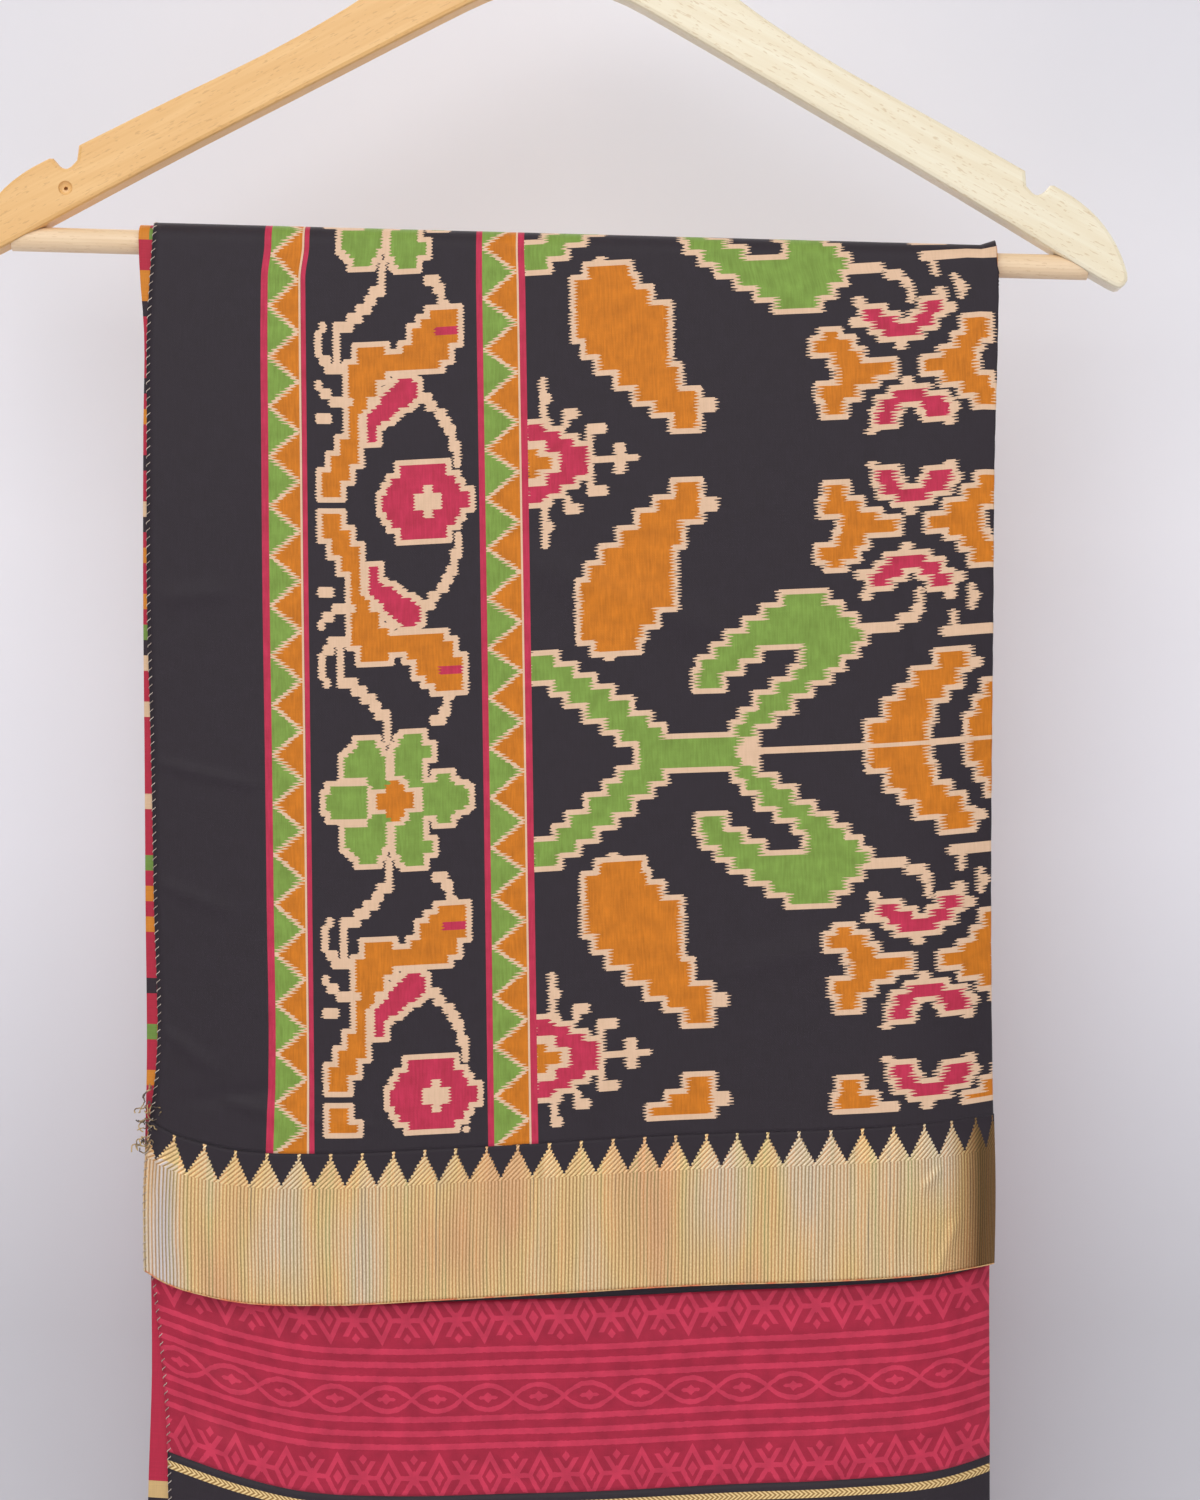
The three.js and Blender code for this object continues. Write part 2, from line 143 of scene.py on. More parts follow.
# Reads one column of a table with a soft curve through its rows
def readTable(table, key, column, at):
    keys = np.array(table[key], float)
    values = np.array(table[column], float)
    slopes = np.gradient(values, keys)
    at = np.clip(np.asarray(at, float), keys[0], keys[-1])
    low = np.clip(np.searchsorted(keys, at, side="right") - 1, 0, len(keys) - 2)
    span = keys[low + 1] - keys[low]
    part = (at - keys[low]) / span
    curve = values[low] * (1 + 2 * part) * (1 - part) ** 2 + values[low + 1] * part**2 * (3 - 2 * part)
    return curve + span * (slopes[low] * part * (1 - part) ** 2 - slopes[low + 1] * part**2 * (1 - part))


def barHeight(x):
    tilt = hangerSizes["tilt"]
    drop = hangerSizes["barDrop"]
    return -drop * math.cos(tilt) - math.tan(tilt) * (x + drop * math.sin(tilt))


def lean(x, drop):
    away = np.zeros(np.broadcast(x, drop).shape)
    for at, halfWidth, depth, start, full in softFolds:
        across = np.clip(np.abs(x - at) / halfWidth, 0, 1)
        away = away + depth * np.cos(across * math.pi / 2) ** 2 * smoothStep(start, full, drop)
    for start, end, depth, power, startDrop, fullDrop in sideRolls:
        across = np.clip((x - start) / (end - start), 0, None)
        away = away + depth * across**power * smoothStep(startDrop, fullDrop, drop)
    return away


def dropOf(travel):
    return np.where(travel >= 0, travel, np.maximum(0, -travel - overBar))


# Distance of the folded layers' inner face from the plane of the bar
def foldsInner(travel):
    closed = np.where(travel >= -overBar / 2, clothSizes["frontHalfGap"], clothSizes["backHalfGap"])
    return mix(foldsRadius, closed, smoothStep(0, clothSizes["settleDrop"], dropOf(travel)))


def foldsWall(travel):
    settled = smoothStep(0, clothSizes["settleDrop"], dropOf(travel))
    return mix(clothSizes["foldsWallAtBar"], clothSizes["foldsWallBelow"], settled)


# Outer face of the outermost layer
def sheetOuter(travel):
    return foldsInner(travel) + foldsWall(travel) + clothSizes["seamGap"] + clothSizes["sheetWall"]


# Face of the innermost layer that looks at the viewer below the front hem
def liningInner(travel):
    return foldsInner(travel) - clothSizes["seamGap"] - clothSizes["sheetWall"]


# A point of the cloth. Travel is the drop down the front flap; it is negative over the bar, and past
# the bar it runs down the back flap. Level is the distance from the plane of the bar.
def clothPoint(x, travel, level):
    x, travel, level = np.broadcast_arrays(np.asarray(x, float), travel, level)
    drop = dropOf(travel)
    side = np.where(travel >= -overBar / 2, -1.0, 1.0)
    slope = lean(x + 0.5, drop) - lean(x - 0.5, drop)
    reach = side * level / np.hypot(1, slope)
    flap = np.stack([x - slope * reach, lean(x, drop) + reach, barHeight(x) - drop], -1)
    angle = np.clip(-travel / bendRadius, 0, math.pi)
    start, end, height = clothSizes["cornerRise"]
    rise = height * np.clip((x - start) / (end - start), 0, 1)
    over = np.stack([x, -level * np.cos(angle), barHeight(x) + (level + rise) * np.sin(angle)], -1)
    onBar = (travel < 0) & (travel > -overBar)
    return np.where(onBar[..., None], over, flap)


def sheetLeft(drop):
    return readTable(sideEdges, "drop", "sheetLeft", drop)


def sheetRight(drop):
    return readTable(sideEdges, "drop", "sheetRight", drop)


def frontHem(x):
    return readTable(hemLine, "x", "drop", x)


def borderTop(x):
    return frontHem(x) - clothSizes["borderHeight"]


def bandFoot(x):
    return readTable(bandLine, "x", "drop", x)


def bandTop(x):
    return bandFoot(x) - clothSizes["redBandHeight"]


def backHem(x):
    return bandFoot(x) + clothSizes["backHemBelowBand"]


def backBorderTop(x):
    return backHem(x) - clothSizes["borderHeight"]


def onBack(drop):
    return -overBar - drop


creaseStrength = 1.5


# Adds soft ridges and troughs: from and to are (x, drop), with half width and height in millimetres
def creaseHeight(creases, x, drop):
    height = np.zeros(np.broadcast(x, drop).shape)
    for start, end, halfWidth, rise in creases:
        along = np.array(end, float) - np.array(start, float)
        length = np.hypot(*along)
        dx, dz = x - start[0], drop - start[1]
        part = (dx * along[0] + dz * along[1]) / length**2
        across = (dx * along[1] - dz * along[0]) / length
        ends = smoothStep(-0.15, 0.25, part) * smoothStep(1.15, 0.75, part)
        height = height + rise * creaseStrength * ends * np.exp(-((across / halfWidth) ** 2))
    return height


# Makes a mesh object from points in millimetres; every face is smooth
def meshObject(name, points, faces, material):
    mesh = bpy.data.meshes.new(name)
    mesh.from_pydata((np.asarray(points, float) * mm).tolist(), [], faces)
    mesh.update()
    mesh.polygons.foreach_set("use_smooth", [True] * len(mesh.polygons))
    mesh.materials.append(material)
    piece = bpy.data.objects.new(name, mesh)
    bpy.context.collection.objects.link(piece)
    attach(piece, "root")
    return piece


# Writes a UV map from one value pair per face corner
def writeUv(piece, name, values):
    layer = piece.data.uv_layers.new(name=name)
    layer.data.foreach_set("uv", np.asarray(values, float).ravel())


# Writes the cloth coordinates, in millimetres, from one value pair per point
def writeCloth(piece, values):
    corners = np.empty(len(piece.data.loops), int)
    piece.data.loops.foreach_get("vertex_index", corners)
    writeUv(piece, "cloth", values[corners])


# Four-sided faces between neighbouring points of a sheet, or round a tube
def sheetQuads(index):
    corners = [index[:-1, :-1], index[:-1, 1:], index[1:, 1:], index[1:, :-1]]
    return np.stack(corners, -1).reshape(-1, 4)


def tubeQuads(index):
    after = np.roll(index, -1, axis=1)
    return np.stack([index[:-1], after[:-1], after[1:], index[1:]], -1).reshape(-1, 4)


# A thin shell of silk. The face has rows by columns of points; the lining under it has every
# liningStep-th row and column only, joined to the face all round.
def silkShell(name, face, lining, material):
    rows, columns = face.shape[:2]
    step = clothSizes["liningStep"]
    keptRows = sorted(set(range(0, rows, step)) | {rows - 1})
    keptColumns = sorted(set(range(0, columns, step)) | {columns - 1})
    index = np.arange(rows * columns).reshape(rows, columns)
    quads = sheetQuads(index)
    underCount = len(keptRows) * len(keptColumns)
    under = rows * columns + np.arange(underCount).reshape(len(keptRows), len(keptColumns))
    underQuads = sheetQuads(under)[:, [0, 3, 2, 1]]
    faces = quads.tolist() + underQuads.tolist()
    edges = [
        (keptColumns, lambda a, b: index[0, a:b + 1], lambda i: under[0, i], False),
        (keptColumns, lambda a, b: index[-1, a:b + 1], lambda i: under[-1, i], True),
        (keptRows, lambda a, b: index[a:b + 1, 0], lambda i: under[i, 0], True),
        (keptRows, lambda a, b: index[a:b + 1, -1], lambda i: under[i, -1], False),
    ]
    for kept, faceEdge, underEdge, forward in edges:
        for i in range(len(kept) - 1):
            ring = [*faceEdge(kept[i], kept[i + 1]).tolist(), int(underEdge(i + 1)), int(underEdge(i))]
            faces.append(ring if forward else ring[::-1])
    keptFace = lining[np.ix_(keptRows, keptColumns)]
    points = np.concatenate([face.reshape(-1, 3), keptFace.reshape(-1, 3)])
    piece = meshObject(name, points, faces, material)
    smoothCount = len(quads) + len(underQuads)
    smooth = [True] * smoothCount + [False] * (len(faces) - smoothCount)
    piece.data.polygons.foreach_set("use_smooth", smooth)
    return piece, len(quads), (keptRows, keptColumns)


# How deep the lining lies under the face: as thick as silk at the edges, deeper inside them, so that
# no trough of the face reaches it
def liningDepth(fromEdge):
    inside = smoothStep(*clothSizes["rim"], fromEdge)
    return mix(clothSizes["edgeThickness"], clothSizes["liningRoom"], inside)


# The lining has the face's creases at its edges and none of them inside
def liningCreases(creases, fromEdge):
    return creases * smoothStep(*clothSizes["rim"][::-1], fromEdge)


# Cloth coordinates of a silk shell, face and lining
def shellUv(piece, kept, across, along):
    rows, columns = kept
    flat = np.stack([across, along], -1)
    writeCloth(piece, np.concatenate([flat.reshape(-1, 2), flat[np.ix_(rows, columns)].reshape(-1, 2)]))


# The print, charted on a grid of small cells. Rows count up from the border. Every motif is
# mirrored about its axis and again half a repeat further on.
printSizes = {
    "cellWidth": 1.803,
    "cellHeight": 1.609,
    "halfRepeat": 72,
    "birdAxisRow": 13,
    "fieldAxisRow": 92,
    "birdColumns": 36,
    "fieldColumns": 106,
    "plainRows": 4,
    "plainLeft": -162,
    "birdLeft": -96.7,
    "fieldLeft": -12.1,
    "levelDrop": 194.4,
    "driftLeft": 0.0085,
    "driftRight": 0.026,
    "driftFrom": -117,
    "driftTo": 134,
    "barBendLeft": 2.2,
    "barBendRight": -3.6,
    "barBendFrom": 14,
}
inks = {"black": 0, "cream": 1, "orange": 2, "green": 3, "crimson": 4}


def insideOutline(outline, column, row):
    inside = np.zeros(column.shape, bool)
    for (x0, y0), (x1, y1) in zip(outline, outline[1:] + outline[:1]):
        crosses = (y0 > row) != (y1 > row)
        with np.errstate(divide="ignore", invalid="ignore"):
            edge = x0 + (row - y0) * (x1 - x0) / (y1 - y0)
        inside ^= crosses & (column < edge)
    return inside


# Fills an outline in steps of a few cells, as tied threads do
def fillShape(chart, ink, outline, step=1):
    rows, columns = np.mgrid[0:chart.shape[0], 0:chart.shape[1]]
    blockColumn = (columns // step + 0.5) * step
    blockRow = (rows // step + 0.5) * step
    chart[insideOutline(outline, blockColumn, blockRow)] = inks[ink]


def fillBlocks(chart, ink, blocks):
    for left, low, right, high in blocks:
        chart[low:high, left:right] = inks[ink]


# A line of cells through a few corners, one cell wide and two high
def stroke(chart, ink, corners):
    for (x0, y0), (x1, y1) in zip(corners, corners[1:]):
        steps = int(max(abs(x1 - x0), abs(y1 - y0)) * 2) + 1
        for i in range(steps + 1):
            column = int(mix(x0, x1, i / steps))
            row = int(mix(y0, y1, i / steps)) // 2 * 2
            chart[row:row + 2, column:column + 1] = inks[ink]


# Puts the cream edge round every coloured cell
def addCreamEdge(chart):
    coloured = chart >= inks["orange"]
    padded = np.pad(coloured, 1, mode="edge")
    near = np.zeros_like(coloured)
    for dy in range(3):
        for dx in range(3):
            near |= padded[dy:dy + chart.shape[0], dx:dx + chart.shape[1]]
    chart[near & (chart == inks["black"])] = inks["cream"]


# Rosette, bird and flower: rows from the rosette's middle up to the flower's middle
def birdChart():
    chart = np.zeros((printSizes["halfRepeat"], printSizes["birdColumns"]), int)
    top = printSizes["halfRepeat"]
    rosette = [(15, 0, 34, 2), (16, 2, 32, 4), (17, 4, 31, 6), (19, 6, 29, 9)]
    fillBlocks(chart, "crimson", rosette)
    body = [
        (27, 47), (29.5, 47), (31.5, 44.5), (33, 42.5), (33, 39), (30, 36), (27, 32), (17.5, 32), (13.5, 28),
        (11, 21), (10.4, 13.7), (8.4, 8), (6.4, 5.5), (6.4, 2.4), (2.4, 2.4), (2.4, 6), (5, 11.5), (7.2, 17),
        (8.5, 24), (7.2, 30), (8.5, 34), (11, 38.2), (15.4, 38.2), (16, 37), (20, 37), (22.4, 40.7), (25, 43),
    ]
    fillShape(chart, "orange", body, step=2)
    petals = [
        [
            (9.5, 15), (13, 15), (14, 12), (14.8, 10), (14.8, 6), (15.8, 5), (15.8, 3), (12, 3), (11, 6),
            (6, 6), (6, 10), (8, 12),
        ],
        [
            (19, 16), (23, 16), (23, 13), (25, 13), (25, 10), (23, 10), (23, 3), (20.5, 3), (19, 6), (17, 6),
            (17, 12), (18, 13),
        ],
        [(23, 0), (23, 4.4), (26.5, 4.4), (26.5, 6.4), (29, 6.4), (29, 4.4), (31, 3), (32.6, 1.6), (32.6, 0)],
        [(2.2, 0), (2.2, 2), (4, 4.2), (11, 4.2), (11, 0)],
    ]
    heart = [(13, 0), (13, 1.2), (15, 2.6), (16, 4.6), (18, 4.6), (19, 2.6), (21, 1.2), (21, 0)]
    for ink, shape in [("green", petal) for petal in petals] + [("orange", heart)]:
        fillShape(chart, ink, [(x, top - y) for x, y in shape])
    addCreamEdge(chart)
    wing = [
        (20, 30.4), (23, 29), (22.4, 24.5), (19.5, 22.5), (17, 20.2), (14.4, 19), (13.6, 15.4), (12.2, 15.4),
        (12.2, 21.2), (14.2, 24), (15.8, 26.6), (17.6, 28.4),
    ]
    wingChart = np.zeros_like(chart)
    fillShape(wingChart, "crimson", wing)
    addCreamEdge(wingChart)
    chart[wingChart > 0] = wingChart[wingChart > 0]
    eye = (27, 40, 32, 42)
    rosetteMark = [(24, 0, 26, 4), (22, 0, 28, 2)]
    foot = (1, 20, 4, 22)
    fillBlocks(chart, "crimson", [eye])
    fillBlocks(chart, "cream", [*rosetteMark, foot])
    lines = [
        [(25, 52), (27.5, 52), (28.5, 49), (29, 47)],
        [(15.6, 56), (15.6, 51.6), (13.6, 50), (11.7, 47.4), (9.8, 45), (7.6, 43), (5.8, 42), (5.8, 33)],
        [(2, 42), (1, 40), (1, 37), (3, 35), (4, 33), (7, 33)],
        [(1, 29), (3, 27), (5, 25), (8, 24)],
        [(24, 25.4), (26, 23.4), (27.6, 21.4), (29.2, 19.4), (30, 17.4), (30.4, 14), (31.4, 13), (31.4, 8)],
    ]
    for corners in lines:
        stroke(chart, "cream", corners)
    return chart


# Crossed arms, leaf, pomegranate, blossoms and tree: rows from the crossing's middle up to the
# pomegranate's middle
def fieldChart():
    chart = np.zeros((printSizes["halfRepeat"] + 1, printSizes["fieldColumns"]), int)
    top = printSizes["halfRepeat"]
    leftArm = [
        (0, 23, 5, 26), (0, 20, 9, 23), (5, 17, 13, 20), (8, 14, 17, 17), (12, 10, 21, 14), (16, 7, 25, 10),
        (19, 4, 28, 7), (23, 0, 45, 4),
    ]
    rightArm = [
        (44, 4, 48, 7), (46, 7, 52, 10), (49, 10, 56, 14), (53, 14, 60, 17), (57, 17, 64, 20),
        (59, 20, 67, 23), (59, 23, 70, 26), (43, 26, 72, 29), (47, 29, 70, 32), (51, 32, 67, 35),
        (55, 35, 64, 38),
        (40, 23, 49, 26), (37, 20, 45, 23), (36, 16, 41, 20),
    ]
    fillBlocks(chart, "green", leftArm + rightArm)
    leaf = [
        (14, 26, 23, 29), (11, 29, 24, 32), (11, 32, 27, 36), (11, 36, 31, 43), (13, 43, 31, 47),
        (16, 47, 31, 51), (20, 51, 33, 55), (24, 55, 33, 57), (24, 57, 37, 59),
        (28, 59, 37, 62), (32, 62, 37, 66),
    ]
    tree = [(73, 0, 85, 6), (77, 6, 86, 11), (80, 11, 89, 14), (83, 14, 92, 18), (88, 18, 94, 22)]
    smallTree = [(94, 0, 101, 6), (96, 6, 103, 10), (98, 10, 105, 14)]
    fillBlocks(chart, "orange", leaf + tree + smallTree)
    blossomLeft = [
        (65, 60, 69, 64), (64, 57, 72, 60), (68, 55, 76, 57), (68, 52, 80, 55), (67, 49, 73, 52),
        (63, 46, 71, 49), (65, 44, 68, 46),
    ]
    blossomRight = [
        (87, 52, 94, 55), (91, 50, 98, 58), (95, 57, 101, 61), (98, 60, 102, 64), (94, 47, 99, 50),
        (96, 43, 101, 48),
    ]
    fillBlocks(chart, "orange", blossomLeft + blossomRight)
    lowBlossom = [(74, 39, 78, 42), (76, 41, 81, 44), (78, 43, 86, 46), (85, 41, 89, 44), (87, 38, 91, 41)]
    highBlossom = [(80, 59, 87, 62), (77, 61, 81, 64), (76, 64, 80, 67), (86, 61, 91, 64), (87, 63, 92, 66)]
    fillBlocks(chart, "crimson", lowBlossom + highBlossom)
    pomegranate = [(0, 63, 4, 73), (4, 65, 7, 73), (7, 67, 10, 73), (10, 69, 13, 73)]
    fillBlocks(chart, "crimson", pomegranate)
    addCreamEdge(chart)
    fillBlocks(chart, "crimson", [(0, 63, 2, 73)])
    fillBlocks(chart, "cream", [(0, 67, 4, 73), (3, 70, 7, 73)])
    fillBlocks(chart, "orange", [(0, 69, 2, 73), (1, 71, 5, 73)])
    lines = [
        [(3, 62), (3, 58), (4, 56), (3, 53)],
        [(8, 62), (10, 60)],
        [(13, 66), (16, 64)],
        [(72, 28), (79, 28), (80, 30), (83, 31), (84, 33), (84, 36)],
        [(89, 27), (105, 27)],
        [(91, 28), (91, 31)],
        [(95, 32), (96, 34), (95, 37)],
    ]
    for corners in lines:
        stroke(chart, "cream", corners)
    fillShape(chart, "cream", [(44, -1), (44, 1), (46, 3), (49, 4), (49, -1)])
    fillBlocks(chart, "cream", [(48, 0, 105, 1), (14, top, 24, top + 1), (19, 69, 21, top + 1)])
    nubs = [
        (16, 24, 18, 25), (38, 59, 41, 62), (94, 18, 97, 20), (72, 36, 74, 38), (71, 41, 73, 43),
        (90, 35, 92, 37), (92, 39, 94, 41), (81, 47, 83, 49), (82, 56, 84, 58), (92, 63, 94, 65),
        (91, 66, 93, 68), (74, 68, 76, 69),
    ]
    fillBlocks(chart, "cream", nubs)
    return chart


# Spreads a charted half repeat over the whole length of the cloth
def repeatRows(chart, rowCount, axisRow, sharedAxis):
    period = 2 * printSizes["halfRepeat"]
    place = (np.arange(rowCount) - axisRow) % period
    if sharedAxis:
        place = np.where(place > period // 2, period - place, place)
    else:
        place = np.where(place >= period // 2, period - 1 - place, place)
    spread = chart[place]
    first = printSizes["plainRows"]
    spread[first][spread[first] != inks["black"]] = inks["cream"]
    spread[:first] = inks["black"]
    return spread


# Where a line of the print lies across the cloth at a given drop
def printAcross(place, drop):
    sizes = printSizes
    part = (place - sizes["driftFrom"]) / (sizes["driftTo"] - sizes["driftFrom"])
    drift = mix(sizes["driftLeft"], sizes["driftRight"], np.clip(part, 0, 1.3))
    bend = mix(sizes["barBendLeft"], sizes["barBendRight"], np.clip(part, 0, 1.2))
    return place - drift * (sizes["levelDrop"] - drop) + bend * smoothStep(sizes["barBendFrom"], 0, drop)


# Creases of the outermost layer: from and to are (x, drop), then half width and height
frontCreases = [
    ((-132, 334), (-113, 340), 1.9, 0.6),
    ((-113, 340), (-73, 344), 1.8, 0.55),
    ((-160, 250), (-128, 262), 3.0, 0.4),
    ((-158, 140), (-130, 136), 4.0, 0.45),
    ((-158, 204), (-119, 212), 2.2, 0.5),
    ((-156, 308), (-135, 324), 2.6, 0.6),
    ((-147, 336), (-92, 326), 3.0, -0.5),
    ((-20, 120), (70, 150), 7, 0.5),
    ((60, 280), (130, 262), 6, 0.45),
    ((-84, 60), (-70, 190), 5, -0.4),
    ((120, 60), (146, 190), 5, -0.5),
    ((20, 300), (10, 342), 5, 0.5),
    # in the gold border, some of them running up into the print
    ((-157, 355), (-159, 374), 1.3, 0.7),
    ((-150, 360), (-151, 398), 4, 0.8),
    ((-120, 370), (-112, 412), 3, 0.4),
    ((-54, 352), (-45, 405), 6, -0.5),
    ((-7, 348), (-6, 404), 2.0, 0.6),
    ((40, 356), (44, 400), 6, 0.5),
    ((104, 345), (104, 395), 1.5, -0.5),
    ((112.6, 345), (112.6, 368), 1.4, -0.45),
    ((132, 345), (132, 395), 1.6, -0.5),
    ((146, 354), (139, 363), 1.6, 0.6),
    ((152.5, 373), (143.5, 398), 1.8, 0.6),
]
backCreases = [
    ((-140, 60), (-96, 74), 3, 0.5),
    ((-60, 180), (30, 168), 6, 0.55),
    ((90, 120), (150, 150), 5, -0.5),
    ((-130, 290), (-70, 310), 4, 0.5),
    ((30, 330), (120, 350), 6, 0.6),
    ((-20, 240), (-14, 390), 5, -0.4),
    ((146, 240), (150, 400), 4, 0.4),
]

# The outermost layer's printed stretch, from the front border over the bar to the back red band
printedPiece = {
    "plainColumnStep": 3.4,
    "bandColumnStep": 3.2,
    "foldFromColumn": 92,
    "foldSplit": 3,
    "levelRows": 199,
    "backRows": 280,
    "edgeInset": 0.2,
    "creasesFrom": (4, 30),
}


def printColumns():
    sizes = printSizes
    birdRight = sizes["birdLeft"] + sizes["birdColumns"] * sizes["cellWidth"]
    fieldRight = sizes["fieldLeft"] + sizes["fieldColumns"] * sizes["cellWidth"]
    places = []
    charts = []

    def span(start, end, count, chart=None, first=0, split=1):
        for i in range(count):
            places.append(mix(start, end, i / count))
            charts.append((chart, first + i // split, (i % split) / split, (i % split + 1) / split))

    def plainSpan(start, end, step):
        span(start, end, round((end - start) / printedPiece[step]))

    plainSpan(sizes["plainLeft"], sizes["birdLeft"], "plainColumnStep")
    span(sizes["birdLeft"], birdRight, sizes["birdColumns"], "bird")
    plainSpan(birdRight, sizes["fieldLeft"], "bandColumnStep")
    fold = printedPiece["foldFromColumn"]
    foldLeft = sizes["fieldLeft"] + fold * sizes["cellWidth"]
    span(sizes["fieldLeft"], foldLeft, fold, "field")
    split = printedPiece["foldSplit"]
    span(foldLeft, fieldRight, (sizes["fieldColumns"] - fold) * split, "field", fold, split)
    places.append(fieldRight)
    return np.array(places), charts


# Turns what runs past the right edge round the fold and back behind it
def foldedEdge(x, edge, radius):
    past = x - (edge - radius)
    angle = np.clip(past / radius, 0, math.pi)
    beyond = np.clip(past - math.pi * radius, 0, None)
    across = np.where(past > 0, edge - radius + radius * np.sin(angle) - beyond, x)
    inset = np.where(past > 0, radius * (1 - np.cos(angle)), 0)
    return across, inset


def buildPrintedField(material):
    places, cellColumns = printColumns()
    sizes = printSizes
    levelRows = printedPiece["levelRows"]
    backRows = printedPiece["backRows"]
    row = np.arange(levelRows + backRows + 1)[:, None]
    along = row * sizes["cellHeight"]
    guess = np.clip(places[None, :], sizes["plainLeft"], clothSizes["span"][1])
    levelTravel = borderTop(guess) - along
    turn = borderTop(guess) - levelRows * sizes["cellHeight"]
    part = (row - levelRows) / backRows
    travel = np.where(row <= levelRows, levelTravel, mix(turn, onBack(bandTop(guess)), part))
    drop = dropOf(travel)
    x = printAcross(places[None, :], np.where(travel >= 0, drop, 0))
    left = sheetLeft(drop)
    plain = places < sizes["birdLeft"]
    plainEdge = printAcross(sizes["birdLeft"], np.where(travel >= 0, drop, 0))
    plainPart = (places - sizes["plainLeft"]) / (sizes["birdLeft"] - sizes["plainLeft"])
    x = np.where(plain[None, :], mix(left, plainEdge, plainPart[None, :]), x)
    radius = clothSizes["foldRadius"]
    x, inset = foldedEdge(x, sheetRight(drop) - printedPiece["edgeInset"], radius)
    creases = np.where(travel >= 0, creaseHeight(frontCreases, x, drop), creaseHeight(backCreases, x, drop))
    creases = creases * smoothStep(*printedPiece["creasesFrom"], drop)
    creases = np.where(inset > 0, 0, np.maximum(creases, clothSizes["deepestTrough"]))
    face = clothPoint(x, travel, sheetOuter(travel) - inset + creases)
    fromEdge = np.minimum(x - left, sheetRight(drop) - x - clothSizes["foldRoom"])
    fromEdge = np.minimum(fromEdge, np.minimum(row, levelRows + backRows - row) * sizes["cellHeight"])
    depth = np.where(inset > 0, 0, liningDepth(fromEdge))
    behind = np.where(inset > 0, clothSizes["edgeThickness"] * np.clip(inset / radius - 1, -1, 1), 0)
    covered = liningCreases(creases, fromEdge)
    lining = clothPoint(x, travel, sheetOuter(travel) - inset + covered - depth + behind)
    piece, cellCount, kept = silkShell("printed_field", face, lining, material)
    across = np.broadcast_to(places[None, :], travel.shape)
    shellUv(piece, kept, across, np.broadcast_to(along, travel.shape))
    writePrintCodes(piece, cellCount, cellColumns, levelRows + backRows)
    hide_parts("front_field", "back_field")
    return piece


# Codes are ink numbers divided by the scale; the fourth tells of coloured cells above and below
inkScale = 5
aboveBit = 0.25
belowBit = 0.5


# Stores for every cell its own ink and its neighbours', for the print's feathered edges
def writePrintCodes(piece, cellCount, cellColumns, rowCount):
    charts = {
        "bird": repeatRows(birdChart(), rowCount, printSizes["birdAxisRow"], False),
        "field": repeatRows(fieldChart(), rowCount, printSizes["fieldAxisRow"], True),
    }
    columnCount = len(cellColumns)
    codes = np.zeros((rowCount, columnCount, 4))
    spans = np.zeros((columnCount, 2))
    for j, (name, column, low, high) in enumerate(cellColumns):
        spans[j] = (low, high)
        if name is None:
            continue
        chart = charts[name]
        here = chart[:, column]
        codes[:, j, 1] = here
        codes[:, j, 0] = chart[:, column - 1] if column > 0 else here * 0
        codes[:, j, 2] = chart[:, column + 1] if column + 1 < chart.shape[1] else here
        above = np.append(here[1:], 0)
        below = np.insert(here[:-1], 0, 0)
        codes[:, j, 3] = ((above > 0) * aboveBit + (below > 0) * belowBit) * inkScale
    codes = codes / inkScale
    corners = len(piece.data.loops)
    values = np.zeros((corners, 4))
    values[:cellCount * 4] = np.repeat(codes.reshape(-1, 4), 4, axis=0)
    layer = piece.data.color_attributes.new("codes", "FLOAT_COLOR", "CORNER")
    layer.data.foreach_set("color", values.ravel())
    cell = np.zeros((corners, 2))
    across = np.stack([spans[:, 0], spans[:, 1], spans[:, 1], spans[:, 0]], -1)
    up = np.array([0, 0, 1, 1], float)
    shape = (rowCount, columnCount, 4)
    block = np.stack([np.broadcast_to(across[None], shape), np.broadcast_to(up, shape)], -1)
    cell[:cellCount * 4] = block.reshape(-1, 2)
    writeUv(piece, "cell", cell)


# Node helpers
def feed(tree, socket, value):
    if isinstance(value, bpy.types.NodeSocket):
        tree.links.new(value, socket)
    else:
        socket.default_value = value


def addNode(tree, kind, inputs=None, **settings):
    node = tree.nodes.new(kind)
    for name, value in settings.items():
        setattr(node, name, value)
    for name, value in (inputs or {}).items():
        feed(tree, node.inputs[name], value)
    return node


def calc(tree, kind, *values, clamp=False):
    node = addNode(tree, "ShaderNodeMath", operation=kind, use_clamp=clamp)
    for socket, value in zip(node.inputs, values):
        feed(tree, socket, value)
    return node.outputs[0]


def times(tree, first, second):
    return calc(tree, "MULTIPLY", first, second)


def plus(tree, first, second):
    return calc(tree, "ADD", first, second)


def minus(tree, first, second):
    return calc(tree, "SUBTRACT", first, second)


def timesPlus(tree, first, second, added):
    return calc(tree, "MULTIPLY_ADD", first, second, added)


def isUnder(tree, value, limit):
    return calc(tree, "LESS_THAN", value, limit)


def isOver(tree, value, limit):
    return calc(tree, "GREATER_THAN", value, limit)


def blendColour(tree, factor, first, second, kind="MIX"):
    node = addNode(tree, "ShaderNodeMix", data_type="RGBA", blend_type=kind)
    for i, value in ((0, factor), (6, first), (7, second)):
        feed(tree, node.inputs[i], value)
    return node.outputs[2]


def shaded(tree, colour, shade):
    return blendColour(tree, 1.0, colour, shade, "MULTIPLY")


def srgb(red, green, blue):
    def linear(value):
        value = value / 255
        return value / 12.92 if value <= 0.04045 else ((value + 0.055) / 1.055) ** 2.4

    return (linear(red), linear(green), linear(blue), 1)


